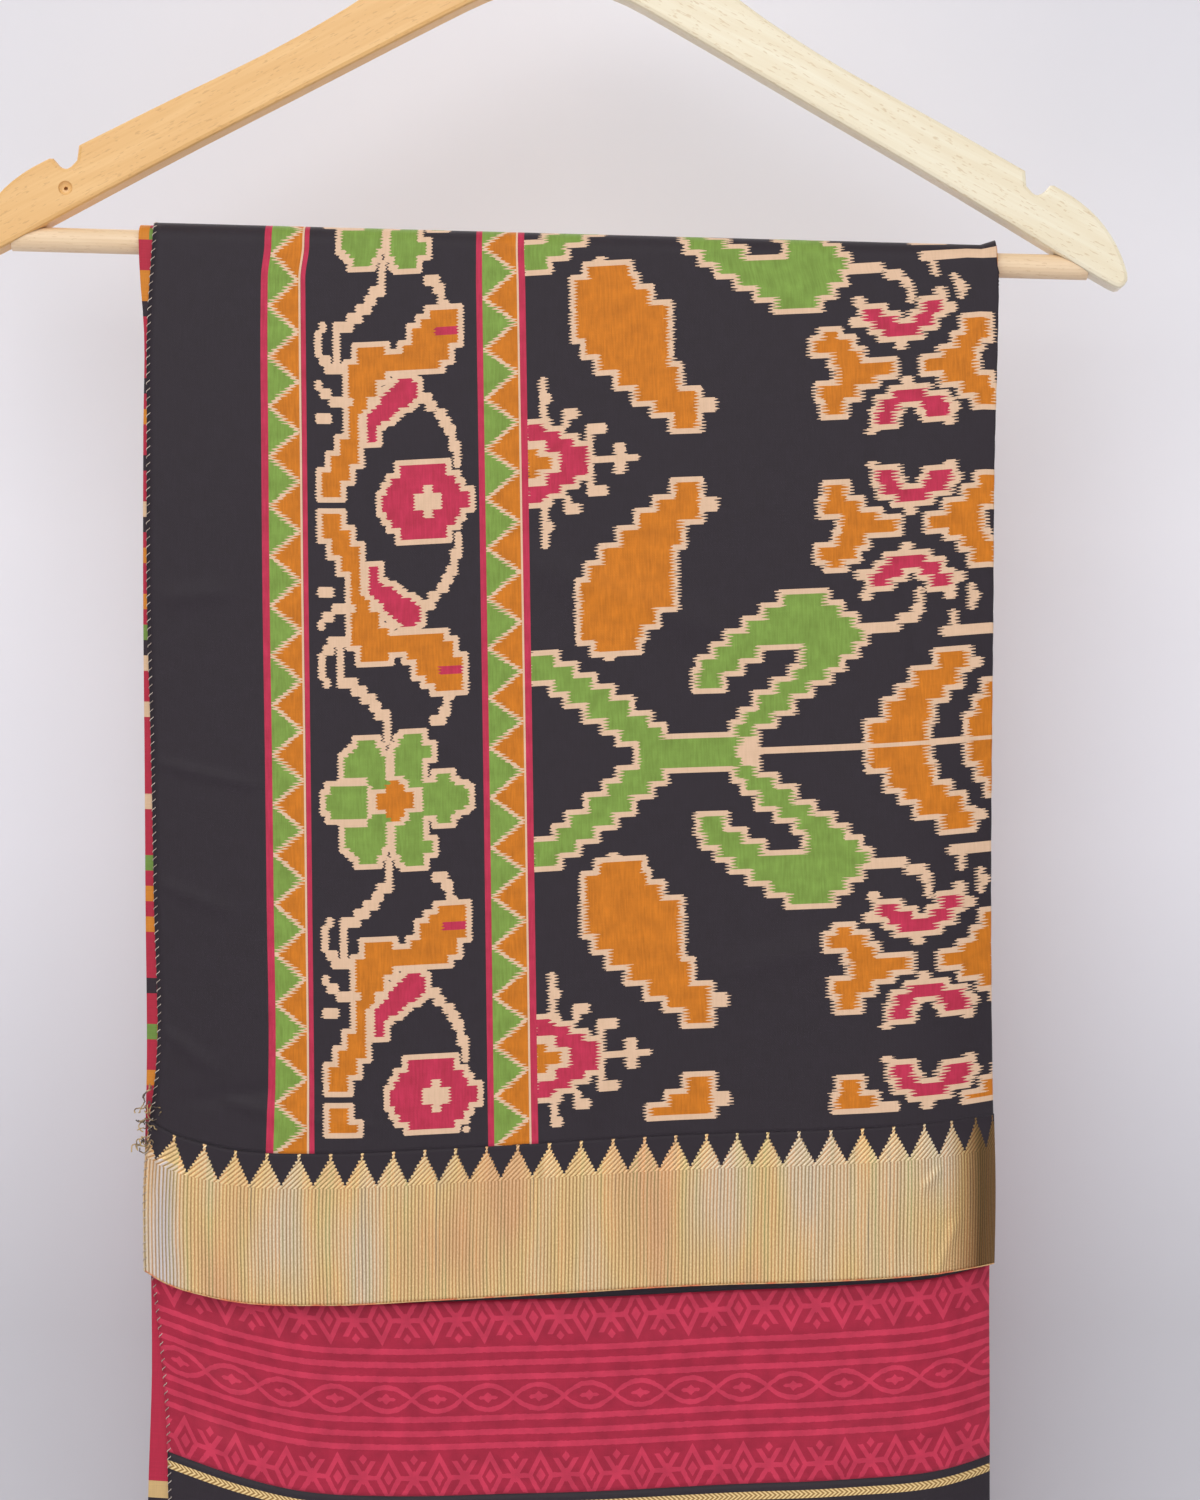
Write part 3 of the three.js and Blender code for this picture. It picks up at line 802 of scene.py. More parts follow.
def ramp(tree, value, stops, stepped=False):
    node = addNode(tree, "ShaderNodeValToRGB", {"Fac": value})
    node.color_ramp.interpolation = "CONSTANT" if stepped else "LINEAR"
    elements = node.color_ramp.elements
    while len(elements) < len(stops):
        elements.new(1)
    for element, (place, colour) in zip(elements, stops):
        element.position = place
        element.color = colour
    return node.outputs["Color"]


def newMaterial(name):
    material = bpy.data.materials.new(name)
    material.use_nodes = True
    tree = material.node_tree
    return material, tree, tree.nodes["Principled BSDF"]


def newGroup(name, inputs, outputs):
    group = bpy.data.node_groups.new(name, "ShaderNodeTree")
    for label, kind, value in inputs:
        socket = group.interface.new_socket(name=label, in_out="INPUT", socket_type=kind)
        if value is not None:
            socket.default_value = value
    for label, kind in outputs:
        group.interface.new_socket(name=label, in_out="OUTPUT", socket_type=kind)
    return group, group.nodes.new("NodeGroupInput").outputs, group.nodes.new("NodeGroupOutput").inputs


def placeGroup(tree, group, inputs):
    node = addNode(tree, "ShaderNodeGroup", node_tree=group)
    for name, value in inputs.items():
        feed(tree, node.inputs[name], value)
    return node.outputs


def splitCloth(tree, vector):
    parts = addNode(tree, "ShaderNodeSeparateXYZ", {"Vector": vector}).outputs
    return parts["X"], parts["Y"]


def stretched(tree, across, along, acrossScale, alongScale, seed=0.0):
    x = times(tree, across, acrossScale)
    y = times(tree, along, alongScale)
    return addNode(tree, "ShaderNodeCombineXYZ", {"X": x, "Y": y, "Z": seed}).outputs[0]


def noiseAt(tree, vector, scale=1.0, detail=2.0, roughness=0.5):
    inputs = {"Vector": vector, "Scale": scale, "Detail": detail, "Roughness": roughness}
    return addNode(tree, "ShaderNodeTexNoise", inputs).outputs["Fac"]


# Silk threads: uneven yarns both ways and a fine plain weave
def makeWeaveGroup():
    group, given, result = newGroup(
        "silkWeave",
        [
            ("Cloth", "NodeSocketVector", None),
            ("Yarn", "NodeSocketFloat", 0.45),
            ("Slub", "NodeSocketFloat", 1.0),
        ],
        [("Height", "NodeSocketFloat"), ("Shade", "NodeSocketFloat")],
    )
    across, along = splitCloth(group, given["Cloth"])
    perYarn = calc(group, "DIVIDE", 1.0, given["Yarn"])
    perLength = times(group, perYarn, 0.05)
    weft = noiseAt(group, stretched(group, across, along, perLength, perYarn, 3.0), 1.0, 2.0)
    warp = noiseAt(group, stretched(group, across, along, perYarn, perLength, 9.0), 1.0, 2.0)
    yarns = times(group, plus(group, weft, warp), 0.5)
    turns = times(group, perYarn, math.pi)
    over = calc(group, "SINE", times(group, across, turns))
    under = calc(group, "SINE", times(group, along, turns))
    plain = times(group, over, under)
    slub = times(group, minus(group, yarns, 0.5), given["Slub"])
    height = timesPlus(group, plain, 0.12, plus(group, slub, 0.5))
    feed(group, result["Height"], height)
    feed(group, result["Shade"], plus(group, times(group, slub, 0.5), 1.0))
    return group


farthestSlip = 1.7


# How far tied threads slip sideways, row by row, in millimetres
def makeFeatherGroup():
    group, given, result = newGroup(
        "ikatFeather",
        [
            ("Cloth", "NodeSocketVector", None),
            ("Reach", "NodeSocketFloat", 1.4),
            ("Row", "NodeSocketFloat", 1.05),
        ],
        [("Slip", "NodeSocketFloat")],
    )
    across, along = splitCloth(group, given["Cloth"])
    rows = calc(group, "DIVIDE", along, given["Row"])
    comb = calc(group, "PINGPONG", rows, 0.5)
    loose = noiseAt(group, stretched(group, across, rows, 0.07, 1.9), 1.0, 1.0)
    wander = noiseAt(group, stretched(group, across, rows, 0.05, 0.35, 4.0), 1.0, 0.0)
    swing = minus(group, times(group, comb, 2.0), 0.5)
    strength = times(group, minus(group, wander, 0.1), 2.0)
    uneven = times(group, minus(group, loose, 0.5), 1.0)
    slip = plus(group, times(group, swing, strength), uneven)
    slip = times(group, slip, given["Reach"])
    slip = calc(group, "MAXIMUM", calc(group, "MINIMUM", slip, farthestSlip), -farthestSlip)
    feed(group, result["Slip"], slip)
    return group


weaveGroup = makeWeaveGroup()
featherGroup = makeFeatherGroup()

inkColours = {
    "black": srgb(47, 40, 46),
    "cream": srgb(226, 190, 158),
    "orange": srgb(206, 120, 26),
    "green": srgb(126, 156, 68),
    "crimson": srgb(192, 48, 78),
}

# The two triangle bands, in millimetres across the cloth
bandKeys = ("left", "redEnd", "trianglesEnd", "creamEnd", "lineStart", "right")
triangleBands = [
    dict(zip(bandKeys, (-116.9, -114.1, -101.7, -100.9, -100.8, -98.9))),
    dict(zip(bandKeys, (-31.5, -29.1, -15.45, -14.7, -14.7, -12.1))),
]
triangleLook = {"repeat": 19.4, "fill": 0.92, "slip": 2.2, "creamHalf": 1.1}


def inkCode(name):
    return inks[name] / inkScale


# Code of a triangle band at a place, and whether the place is on the band
def bandCode(tree, band, across, along, slip):
    def within(low, high):
        return times(tree, isOver(tree, across, low), isUnder(tree, across, high))

    look = triangleLook
    width = band["trianglesEnd"] - band["redEnd"]
    wave = times(tree, calc(tree, "PINGPONG", along, look["repeat"] / 2), 2 / look["repeat"])
    edge = timesPlus(tree, wave, width * look["fill"], band["redEnd"] + width * (1 - look["fill"]) / 2)
    moved = minus(tree, plus(tree, across, times(tree, slip, look["slip"])), edge)
    isOrange = isOver(tree, moved, look["creamHalf"])
    isGreen = isUnder(tree, moved, -look["creamHalf"])
    code = timesPlus(tree, isOrange, inkCode("orange") - inkCode("cream"), inkCode("cream"))
    code = timesPlus(tree, isGreen, inkCode("green") - inkCode("cream"), code)
    code = times(tree, code, within(band["redEnd"], band["trianglesEnd"]))
    cream = times(tree, within(band["trianglesEnd"], band["creamEnd"]), inkCode("cream"))
    red = plus(tree, within(band["left"], band["redEnd"]), within(band["lineStart"], band["right"]))
    return plus(tree, plus(tree, code, cream), times(tree, red, inkCode("crimson")))


# Ink code of a charted cell, its sides shifted by the thread slip and its cream edge widened
def chartCode(tree, slip, grow):
    codes = addNode(tree, "ShaderNodeAttribute", attribute_type="GEOMETRY", attribute_name="codes").outputs
    parts = addNode(tree, "ShaderNodeSeparateColor", {"Color": codes["Color"]}).outputs
    left, here, right = parts["Red"], parts["Green"], parts["Blue"]
    cell = addNode(tree, "ShaderNodeUVMap", uv_map="cell").outputs["UV"]
    across, up = splitCloth(tree, cell)
    moved = plus(tree, across, calc(tree, "DIVIDE", slip, printSizes["cellWidth"]))
    blackLeft, blackHere, blackRight = (isUnder(tree, code, 0.1) for code in (left, here, right))
    leftEdge = times(tree, minus(tree, blackHere, blackLeft), grow)
    rightEdge = timesPlus(tree, minus(tree, blackRight, blackHere), grow, 1.0)
    goLeft = isUnder(tree, moved, leftEdge)
    goRight = isOver(tree, moved, rightEdge)
    code = timesPlus(tree, minus(tree, left, here), goLeft, here)
    code = timesPlus(tree, minus(tree, right, here), goRight, code)
    below = isOver(tree, codes["Alpha"], belowBit - 0.1)
    above = isOver(tree, timesPlus(tree, below, -belowBit, codes["Alpha"]), aboveBit - 0.05)
    nearAbove = times(tree, above, isOver(tree, up, 1 - grow))
    nearBelow = times(tree, below, isUnder(tree, up, grow))
    near = calc(tree, "MAXIMUM", nearAbove, nearBelow)
    isBlack = isUnder(tree, code, 0.1)
    return timesPlus(tree, times(tree, near, isBlack), inkCode("cream"), code)


silkLook = {"specular": 0.22, "sheen": 0.05, "bump": 0.25, "yarn": 0.5, "edgeGrow": 0.3}

# The print: how far threads slip left and right of the field's edge, and its uneven dyeing
printLook = {
    "slipLeft": 1.3,
    "slipMore": 0.9,
    "slipGrowth": 1.6,
    "growthWidth": 110,
    "slipRow": 1.25,
    "tones": [(0.3, (0.7, 0.68, 0.6, 1)), (0.7, (1.2, 1.22, 1.3, 1))],
    "weave": 0.35,
}


def silkBump(tree, shader, height, strength, distance=0.2):
    inputs = {"Strength": strength, "Distance": distance * mm, "Height": height}
    tree.links.new(addNode(tree, "ShaderNodeBump", inputs).outputs["Normal"], shader.inputs["Normal"])


# A silk material, with its cloth coordinates in millimetres
def newSilk(name, roughness):
    material, tree, shader = newMaterial(name)
    shader.inputs["Roughness"].default_value = roughness
    shader.inputs["Specular IOR Level"].default_value = silkLook["specular"]
    cloth = addNode(tree, "ShaderNodeUVMap", uv_map="cloth").outputs["UV"]
    return material, tree, shader, cloth


def plainWeave(tree, cloth):
    return placeGroup(tree, weaveGroup, {"Cloth": cloth, "Yarn": silkLook["yarn"], "Slub": 1.0})


def printedSilk():
    material, tree, shader, cloth = newSilk("printed_silk", 0.58)
    across, along = splitCloth(tree, cloth)
    look = printLook
    ahead = minus(tree, across, printSizes["fieldLeft"])
    ahead = calc(tree, "MULTIPLY", ahead, 1 / look["growthWidth"], clamp=True)
    reach = plus(tree, times(tree, isOver(tree, ahead, 0.0), look["slipMore"]), look["slipLeft"])
    reach = timesPlus(tree, ahead, look["slipGrowth"], reach)
    slip = placeGroup(tree, featherGroup, {"Cloth": cloth, "Reach": reach, "Row": look["slipRow"]})["Slip"]
    code = chartCode(tree, slip, silkLook["edgeGrow"])
    for band in triangleBands:
        code = plus(tree, code, bandCode(tree, band, across, along, slip))
    stops = [(max(inkCode(name) - 0.1, 0), inkColours[name]) for name in inks]
    colour = ramp(tree, code, stops, stepped=True)
    blotch = noiseAt(tree, cloth, 0.16, 3.0)
    streak = noiseAt(tree, stretched(tree, across, along, 1.3, 0.12, 2.0), 1.0, 2.0)
    tone = plus(tree, times(tree, blotch, 0.5), times(tree, streak, 0.5))
    coloured = isOver(tree, code, 0.3)
    amount = timesPlus(tree, coloured, 0.5, 0.25)
    colour = blendColour(tree, amount, colour, shaded(tree, colour, ramp(tree, tone, look["tones"])))
    weave = plainWeave(tree, cloth)
    colour = blendColour(tree, look["weave"], colour, shaded(tree, colour, weave["Shade"]))
    feed(tree, shader.inputs["Base Color"], colour)
    shader.inputs["Sheen Weight"].default_value = silkLook["sheen"]
    silkBump(tree, shader, weave["Height"], silkLook["bump"])
    return material


# Box test: 1 where the value lies within half the width of the middle
def nearTo(tree, value, middle, halfWidth):
    gap = calc(tree, "ABSOLUTE", minus(tree, value, middle))
    return isUnder(tree, gap, halfWidth)


def either(tree, *masks):
    result = masks[0]
    for mask in masks[1:]:
        result = calc(tree, "MAXIMUM", result, mask)
    return result


zariLook = {
    "ribPitch": 1.37,
    "rollFrom": 129,
    "roll": 0.0058,
    "rollHardFrom": 160,
    "rollHard": 0.07,
    "toothPitch": 12.2,
    "toothPhase": 66.6,
    "toothFoot": 45.2,
    "toothHeight": 11.4,
    "stemHeight": 13.7,
    "toothHalfWidth": 6.1,
    "stepHeight": 1.35,
    "hatchPitch": 2.0,
    "rib": srgb(250, 219, 158),
    "ribPale": srgb(242, 224, 192),
    "ribPink": srgb(242, 198, 150),
    "gaps": [
        (0.3, srgb(146, 140, 84)),
        (0.45, srgb(150, 104, 56)),
        (0.6, srgb(206, 140, 84)),
        (0.72, srgb(120, 92, 70)),
    ],
    # Painted sheen: a pale whitish-blue glint on the gold near the left end
    "paintedSheen": srgb(206, 206, 222),
    "paintedSheenMiddle": (-155, 23),
    "paintedSheenReach": (9, 25),
    # Painted shade: the gold darkens towards the right end, where the cloth rolls away from the light
    "paintedShadeFrom": 148,
    "paintedShadeWidth": 20,
    "paintedShadeTones": [
        (0.0, (1, 1, 1, 1)),
        (0.4, (0.6, 0.55, 0.48, 1)),
        (0.66, (0.22, 0.18, 0.12, 1)),
        (1.0, (0.3, 0.26, 0.19, 1)),
    ],
    "metallic": 0.42,
    "roughness": 0.4,
    "blackRoughness": 0.62,
}


# The cloth rolls back at the right end, so more of it lies on each millimetre seen from the front
def rolledAcross(tree, across):
    early = calc(tree, "MAXIMUM", minus(tree, across, zariLook["rollFrom"]), 0.0)
    late = calc(tree, "MAXIMUM", minus(tree, across, zariLook["rollHardFrom"]), 0.0)
    more = timesPlus(tree, times(tree, early, early), zariLook["roll"], across)
    return timesPlus(tree, times(tree, late, late), zariLook["rollHard"], more)


# The woven gold border: ribs below, a row of hatched teeth with small stems above
def makeZariGroup():
    group, given, result = newGroup(
        "zariTemples",
        [("Cloth", "NodeSocketVector", None)],
        [("Gold", "NodeSocketFloat"), ("Thread", "NodeSocketFloat")],
    )
    look = zariLook
    across, along = splitCloth(group, given["Cloth"])
    across = rolledAcross(group, across)
    wobble = noiseAt(group, stretched(group, across, along, 0.35, 0.35), 1.0, 1.0)
    height = minus(group, along, look["toothFoot"])
    fromTip = calc(group, "PINGPONG", plus(group, across, look["toothPhase"]), look["toothPitch"] / 2)
    fromTip = plus(group, fromTip, times(group, minus(group, wobble, 0.5), 0.7))
    stepped = calc(group, "SNAP", height, look["stepHeight"])
    slope = -look["toothHalfWidth"] / look["toothHeight"]
    half = timesPlus(group, stepped, slope, look["toothHalfWidth"])
    bobble = times(group, calc(group, "PINGPONG", height, 0.7), 0.5)
    half = calc(group, "MAXIMUM", plus(group, half, bobble), timesPlus(group, bobble, 1.0, 0.35))
    inside = times(group, isUnder(group, fromTip, half), isUnder(group, height, look["stemHeight"]))
    isBody = isUnder(group, height, 0.0)
    isTooth = times(group, inside, isOver(group, height, 0.0))
    perRib = 2 * math.pi / look["ribPitch"]
    drift = noiseAt(group, stretched(group, across, along, 0.03, 0.02, 5.0), 1.0, 1.0)
    ribPlace = plus(group, across, times(group, drift, 1.6))
    rib = timesPlus(group, calc(group, "COSINE", times(group, ribPlace, perRib)), 0.5, 0.5)
    diagonal = minus(group, across, along)
    hatch = calc(group, "SINE", times(group, diagonal, 2 * math.pi / look["hatchPitch"]))
    hatch = timesPlus(group, hatch, 0.5, 0.5)
    thread = plus(group, times(group, rib, isBody), times(group, hatch, isTooth))
    feed(group, result["Gold"], either(group, isBody, isTooth))
    feed(group, result["Thread"], thread)
    return group


zariGroup = makeZariGroup()


def zariSilk():
    look = zariLook
    material, tree, shader, cloth = newSilk("gold_border", look["blackRoughness"])
    across, along = splitCloth(tree, cloth)
    weave = placeGroup(tree, zariGroup, {"Cloth": cloth})
    column = calc(tree, "SNAP", rolledAcross(tree, across), look["ribPitch"])
    lot = noiseAt(tree, stretched(tree, column, along, 0.31, 0.01, 7.0), 1.0, 1.0)
    gap = ramp(tree, lot, look["gaps"])
    broad = noiseAt(tree, stretched(tree, across, along, 0.035, 0.012, 1.0), 1.0, 1.0)
    ribColour = ramp(tree, broad, [(0.32, look["ribPink"]), (0.5, look["rib"]), (0.68, look["ribPale"])])
    depth = calc(tree, "POWER", weave["Thread"], 0.5)
    gold = blendColour(tree, depth, gap, ribColour)
    speck = noiseAt(tree, stretched(tree, across, along, 2.2, 1.4, 3.0), 1.0, 2.0)
    shade = ramp(tree, speck, [(0.3, (0.78, 0.76, 0.7, 1)), (0.7, (1.08, 1.08, 1.1, 1))])
    gold = shaded(tree, gold, shade)
    # Painted sheen: a whitish-blue glint laid on the raised gold threads near the left end
    fromMiddle = calc(tree, "ABSOLUTE", minus(tree, across, look["paintedSheenMiddle"][0]))
    fromMiddle = calc(tree, "DIVIDE", fromMiddle, look["paintedSheenReach"][0])
    paintedSheen = minus(tree, 1.0, calc(tree, "SMOOTH_MIN", 1.0, fromMiddle, 0.4))
    paintedSheen = times(tree, paintedSheen, nearTo(tree, along, look["paintedSheenMiddle"][1], look["paintedSheenReach"][1]))
    paintedSheen = times(tree, times(tree, paintedSheen, 0.75), weave["Thread"])
    gold = blendColour(tree, paintedSheen, gold, look["paintedSheen"])
    # Painted shade on the gold's right end, darker where the cloth turns away from the light
    paintedShadePart = calc(tree, "DIVIDE", minus(tree, across, look["paintedShadeFrom"]), look["paintedShadeWidth"])
    gold = shaded(tree, gold, ramp(tree, paintedShadePart, look["paintedShadeTones"]))
    feed(tree, shader.inputs["Base Color"], blendColour(tree, weave["Gold"], inkColours["black"], gold))
    feed(tree, shader.inputs["Metallic"], times(tree, weave["Gold"], look["metallic"]))
    black = look["blackRoughness"]
    feed(tree, shader.inputs["Roughness"], timesPlus(tree, weave["Gold"], look["roughness"] - black, black))
    silkBump(tree, shader, times(tree, weave["Thread"], weave["Gold"]), 0.6, 0.25)
    return material


redLook = {
    "middle": 38.1,
    "period": 20.15,
    "phase": 14.0,
    "lines": (7.95, 13.5, 18.75),
    "lineHalf": 1.15,
    "diamondRow": 30.9,
    "diamond": (4.3, 8.1),
    "diamondLine": 0.24,
    "heart": (1.9, 3.0),
    "armSlope": 0.62,
    "armHalf": 1.1,
    "armLength": 6.6,
    "barHalf": 0.95,
    "barLength": 6.2,
    "knot": (2.9, 2.9),
    "dot": (1.6, 2.0),
    "dotFromRow": -7.2,
    "archHeight": 4.7,
    "archHalf": 1.0,
    "leaf": (4.6, 2.1),
    "dark": srgb(168, 36, 62),
    "light": srgb(206, 58, 86),
}


# The red band's tone-on-tone print: diamonds and stars, lines, and a chain of leaves
def makeRedBandGroup():
    look = redLook
    inputs = [("Cloth", "NodeSocketVector", None)]
    group, given, result = newGroup("redBandPrint", inputs, [("Mark", "NodeSocketFloat")])
    across, along = splitCloth(group, given["Cloth"])
    wobble = minus(group, noiseAt(group, stretched(group, across, along, 0.45, 0.45), 1.0, 2.0), 0.5)
    wobble = times(group, wobble, 0.9)
    high = calc(group, "ABSOLUTE", minus(group, along, look["middle"]))
    high = plus(group, high, wobble)
    toDiamond = calc(group, "PINGPONG", plus(group, across, look["phase"]), look["period"] / 2)
    toDiamond = plus(group, toDiamond, times(group, wobble, 0.6))
    toStar = minus(group, look["period"] / 2, toDiamond)
    lines = [nearTo(group, high, middle, look["lineHalf"]) for middle in look["lines"]]
    fromRow = minus(group, high, look["diamondRow"])
    offRow = calc(group, "ABSOLUTE", fromRow)

    # 1 on the edge of a diamond with these half sizes, less inside it
    def slanted(x, y, key):
        halfWidth, halfHeight = look[key]
        return plus(group, calc(group, "DIVIDE", x, halfWidth), calc(group, "DIVIDE", y, halfHeight))

    outline = nearTo(group, slanted(toDiamond, offRow, "diamond"), 1.0, look["diamondLine"])
    heart = isUnder(group, slanted(toDiamond, offRow, "heart"), 1.0)
    arms = nearTo(group, timesPlus(group, offRow, -look["armSlope"], toStar), 0.0, look["armHalf"])
    arms = times(group, arms, isUnder(group, offRow, look["armLength"]))
    bar = times(group, isUnder(group, offRow, look["barHalf"]), isUnder(group, toStar, look["barLength"]))
    knot = isUnder(group, slanted(toStar, offRow, "knot"), 1.0)
    fromDot = calc(group, "ABSOLUTE", minus(group, fromRow, look["dotFromRow"]))
    dot = isUnder(group, slanted(toStar, fromDot, "dot"), 1.0)
    part = calc(group, "DIVIDE", toDiamond, look["period"] / 2)
    arch = timesPlus(group, times(group, part, part), -look["archHeight"], look["archHeight"])
    chain = nearTo(group, high, arch, look["archHalf"])
    lobes = times(group, calc(group, "PINGPONG", toDiamond, 1.5), 0.7)
    leafEdge = plus(group, slanted(toDiamond, high, "leaf"), times(group, lobes, 0.3))
    leaf = isUnder(group, leafEdge, 1.0)
    feed(group, result["Mark"], either(group, *lines, outline, heart, arms, bar, knot, dot, chain, leaf))
    return group


redBandGroup = makeRedBandGroup()


def redSilk():
    look = redLook
    material, tree, shader, cloth = newSilk("red_silk", 0.55)
    mark = placeGroup(tree, redBandGroup, {"Cloth": cloth})["Mark"]
    weave = plainWeave(tree, cloth)
    blotch = noiseAt(tree, cloth, 0.12, 3.0)
    colour = blendColour(tree, times(tree, mark, 0.85), look["dark"], look["light"])
    shade = ramp(tree, blotch, [(0.35, (0.86, 0.84, 0.86, 1)), (0.65, (1.08, 1.06, 1.08, 1))])
    colour = shaded(tree, colour, shade)
    colour = blendColour(tree, 0.4, colour, shaded(tree, colour, weave["Shade"]))
    feed(tree, shader.inputs["Base Color"], colour)
    shader.inputs["Sheen Weight"].default_value = silkLook["sheen"]
    silkBump(tree, shader, weave["Height"], silkLook["bump"])
    return material


goldLine = {"from": 3.3, "to": 6.5, "twistPitch": 1.9}


def hemSilk():
    material, tree, shader, cloth = newSilk("black_silk_gold_line", 0.55)
    across, along = splitCloth(tree, cloth)
    middle = (goldLine["from"] + goldLine["to"]) / 2
    halfWidth = (goldLine["to"] - goldLine["from"]) / 2
    fromMiddle = calc(tree, "ABSOLUTE", minus(tree, along, middle))
    isLine = isUnder(tree, fromMiddle, halfWidth)
    chevron = timesPlus(tree, fromMiddle, 1.3, across)
    twist = calc(tree, "SINE", times(tree, chevron, 2 * math.pi / goldLine["twistPitch"]))
    twist = timesPlus(tree, twist, 0.5, 0.5)
    gold = blendColour(tree, twist, srgb(150, 112, 60), zariLook["rib"])
    weave = plainWeave(tree, cloth)
    black = shaded(tree, inkColours["black"], weave["Shade"])
    feed(tree, shader.inputs["Base Color"], blendColour(tree, isLine, black, gold))
    feed(tree, shader.inputs["Metallic"], times(tree, isLine, 0.35))
    height = plus(tree, times(tree, isLine, twist), times(tree, weave["Height"], 0.3))
    silkBump(tree, shader, height, 0.5, 0.25)
    return material


# Where the folded layers change weave, as travel along the cloth, and the stretch that is printed
printedStretch = (-405, 349)
foldZones = [
    (-1100, srgb(196, 160, 108)),
    (-650, srgb(47, 40, 46)),
    (-517, srgb(206, 172, 118)),
    (-512.5, srgb(47, 40, 46)),
    (-511.5, srgb(180, 42, 68)),
    (-431, srgb(47, 40, 46)),
    (printedStretch[0], srgb(150, 44, 62)),
    (printedStretch[1], srgb(214, 176, 122)),
]
foldBits = [
    (0.0, srgb(52, 42, 48)),
    (0.36, srgb(176, 44, 64)),
    (0.58, srgb(206, 128, 44)),
    (0.62, srgb(214, 180, 146)),
    (0.65, srgb(112, 140, 66)),
]


def foldedSilk():
    material, tree, shader, cloth = newSilk("folded_silk", 0.6)
    across, along = splitCloth(tree, cloth)
    start, reach = -1200, 1700
    place = calc(tree, "DIVIDE", minus(tree, along, start), reach)
    zone = ramp(tree, place, [((at - start) / reach, colour) for at, colour in foldZones], stepped=True)
    block = calc(tree, "SNAP", along, 6.0)
    lot = noiseAt(tree, stretched(tree, calc(tree, "SNAP", across, 7.0), block, 0.4, 0.23, 2.0), 1.0, 0.0)
    bits = ramp(tree, lot, foldBits, stepped=True)
    printed = times(tree, isOver(tree, along, printedStretch[0]), isUnder(tree, along, printedStretch[1]))
    colour = blendColour(tree, printed, zone, bits)
    weave = plainWeave(tree, cloth)
    feed(tree, shader.inputs["Base Color"], shaded(tree, colour, weave["Shade"]))
    silkBump(tree, shader, weave["Height"], silkLook["bump"])
    return material


def threadLook(name, colour, other):
    material, tree, shader = newMaterial(name)
    place = addNode(tree, "ShaderNodeTexCoord").outputs["Object"]
    fuzz = noiseAt(tree, place, 1500.0, 2.0)
    lot = ramp(tree, noiseAt(tree, place, 180.0, 1.0), [(0.42, (0, 0, 0, 1)), (0.56, (1, 1, 1, 1))])
    mixed = blendColour(tree, lot, colour, other)
    shade = ramp(tree, fuzz, [(0.3, (0.7, 0.68, 0.66, 1)), (0.7, (1.1, 1.1, 1.1, 1))])
    feed(tree, shader.inputs["Base Color"], shaded(tree, mixed, shade))
    shader.inputs["Roughness"].default_value = 0.6
    silkBump(tree, shader, fuzz, 0.3, 0.1)
    return material


# Wood grain that runs along a direction in the plane of the hanger
def makeWoodGroup():
    group, given, result = newGroup(
        "woodGrain",
        [
            ("Place", "NodeSocketVector", None),
            ("Run", "NodeSocketFloat", 1.0),
            ("Rise", "NodeSocketFloat", 0.0),
        ],
        [("Grain", "NodeSocketFloat"), ("Rings", "NodeSocketFloat"), ("Fleck", "NodeSocketFloat")],
    )
    parts = addNode(group, "ShaderNodeSeparateXYZ", {"Vector": given["Place"]}).outputs
    x, y, z = (times(group, parts[axis], 1 / mm) for axis in "XYZ")
    run = plus(group, times(group, x, given["Run"]), times(group, z, given["Rise"]))
    rise = minus(group, times(group, z, given["Run"]), times(group, x, given["Rise"]))

    def grainAt(runScale, crossScale, detail):
        place = addNode(group, "ShaderNodeCombineXYZ", {
            "X": times(group, run, runScale),
            "Y": times(group, rise, crossScale),
            "Z": times(group, y, crossScale),
        }).outputs[0]
        return noiseAt(group, place, 1.0, detail)

    bend = grainAt(0.006, 0.02, 2.0)
    rings = calc(group, "SINE", timesPlus(group, bend, 42.0, times(group, rise, 0.55)))
    feed(group, result["Grain"], grainAt(0.02, 0.9, 4.0))
    feed(group, result["Rings"], timesPlus(group, rings, 0.5, 0.5))
    feed(group, result["Fleck"], isOver(group, grainAt(0.28, 1.6, 1.0), 0.66))
    return group


woodGroup = makeWoodGroup()
woodLooks = {
    "golden_wood": {
        "angle": 27.5,
        "light": srgb(240, 196, 132),
        "dark": srgb(222, 168, 96),
        "fleck": srgb(186, 130, 70),
        "flecks": 0.35,
        "rings": 0.35,
    },
    "pale_wood": {
        "angle": -27.5,
        "light": srgb(245, 238, 214),
        "dark": srgb(232, 216, 182),
        "fleck": srgb(206, 178, 132),
        "flecks": 0.5,
        "rings": 0.5,
    },
    "bar_wood": {
        "angle": -1.55,
        "light": srgb(244, 218, 182),
        "dark": srgb(226, 192, 150),
        "fleck": srgb(206, 168, 120),
        "flecks": 0.4,
        "rings": 0.2,
    },
}


def woodMaterial(name):
    look = woodLooks[name]
    material, tree, shader = newMaterial(name)
    place = addNode(tree, "ShaderNodeTexCoord").outputs["Object"]
    angle = math.radians(look["angle"])
    wood = placeGroup(tree, woodGroup, {"Place": place, "Run": math.cos(angle), "Rise": math.sin(angle)})
    base = blendColour(tree, times(tree, wood["Grain"], 1.1), look["dark"], look["light"])
    base = blendColour(tree, times(tree, wood["Rings"], look["rings"]), base, look["dark"])
    base = blendColour(tree, times(tree, wood["Fleck"], look["flecks"]), base, look["fleck"])
    feed(tree, shader.inputs["Base Color"], base)
    shader.inputs["Roughness"].default_value = 0.42
    shader.inputs["Coat Weight"].default_value = 0.15
    silkBump(tree, shader, wood["Grain"], 0.15, 0.15)
    return material


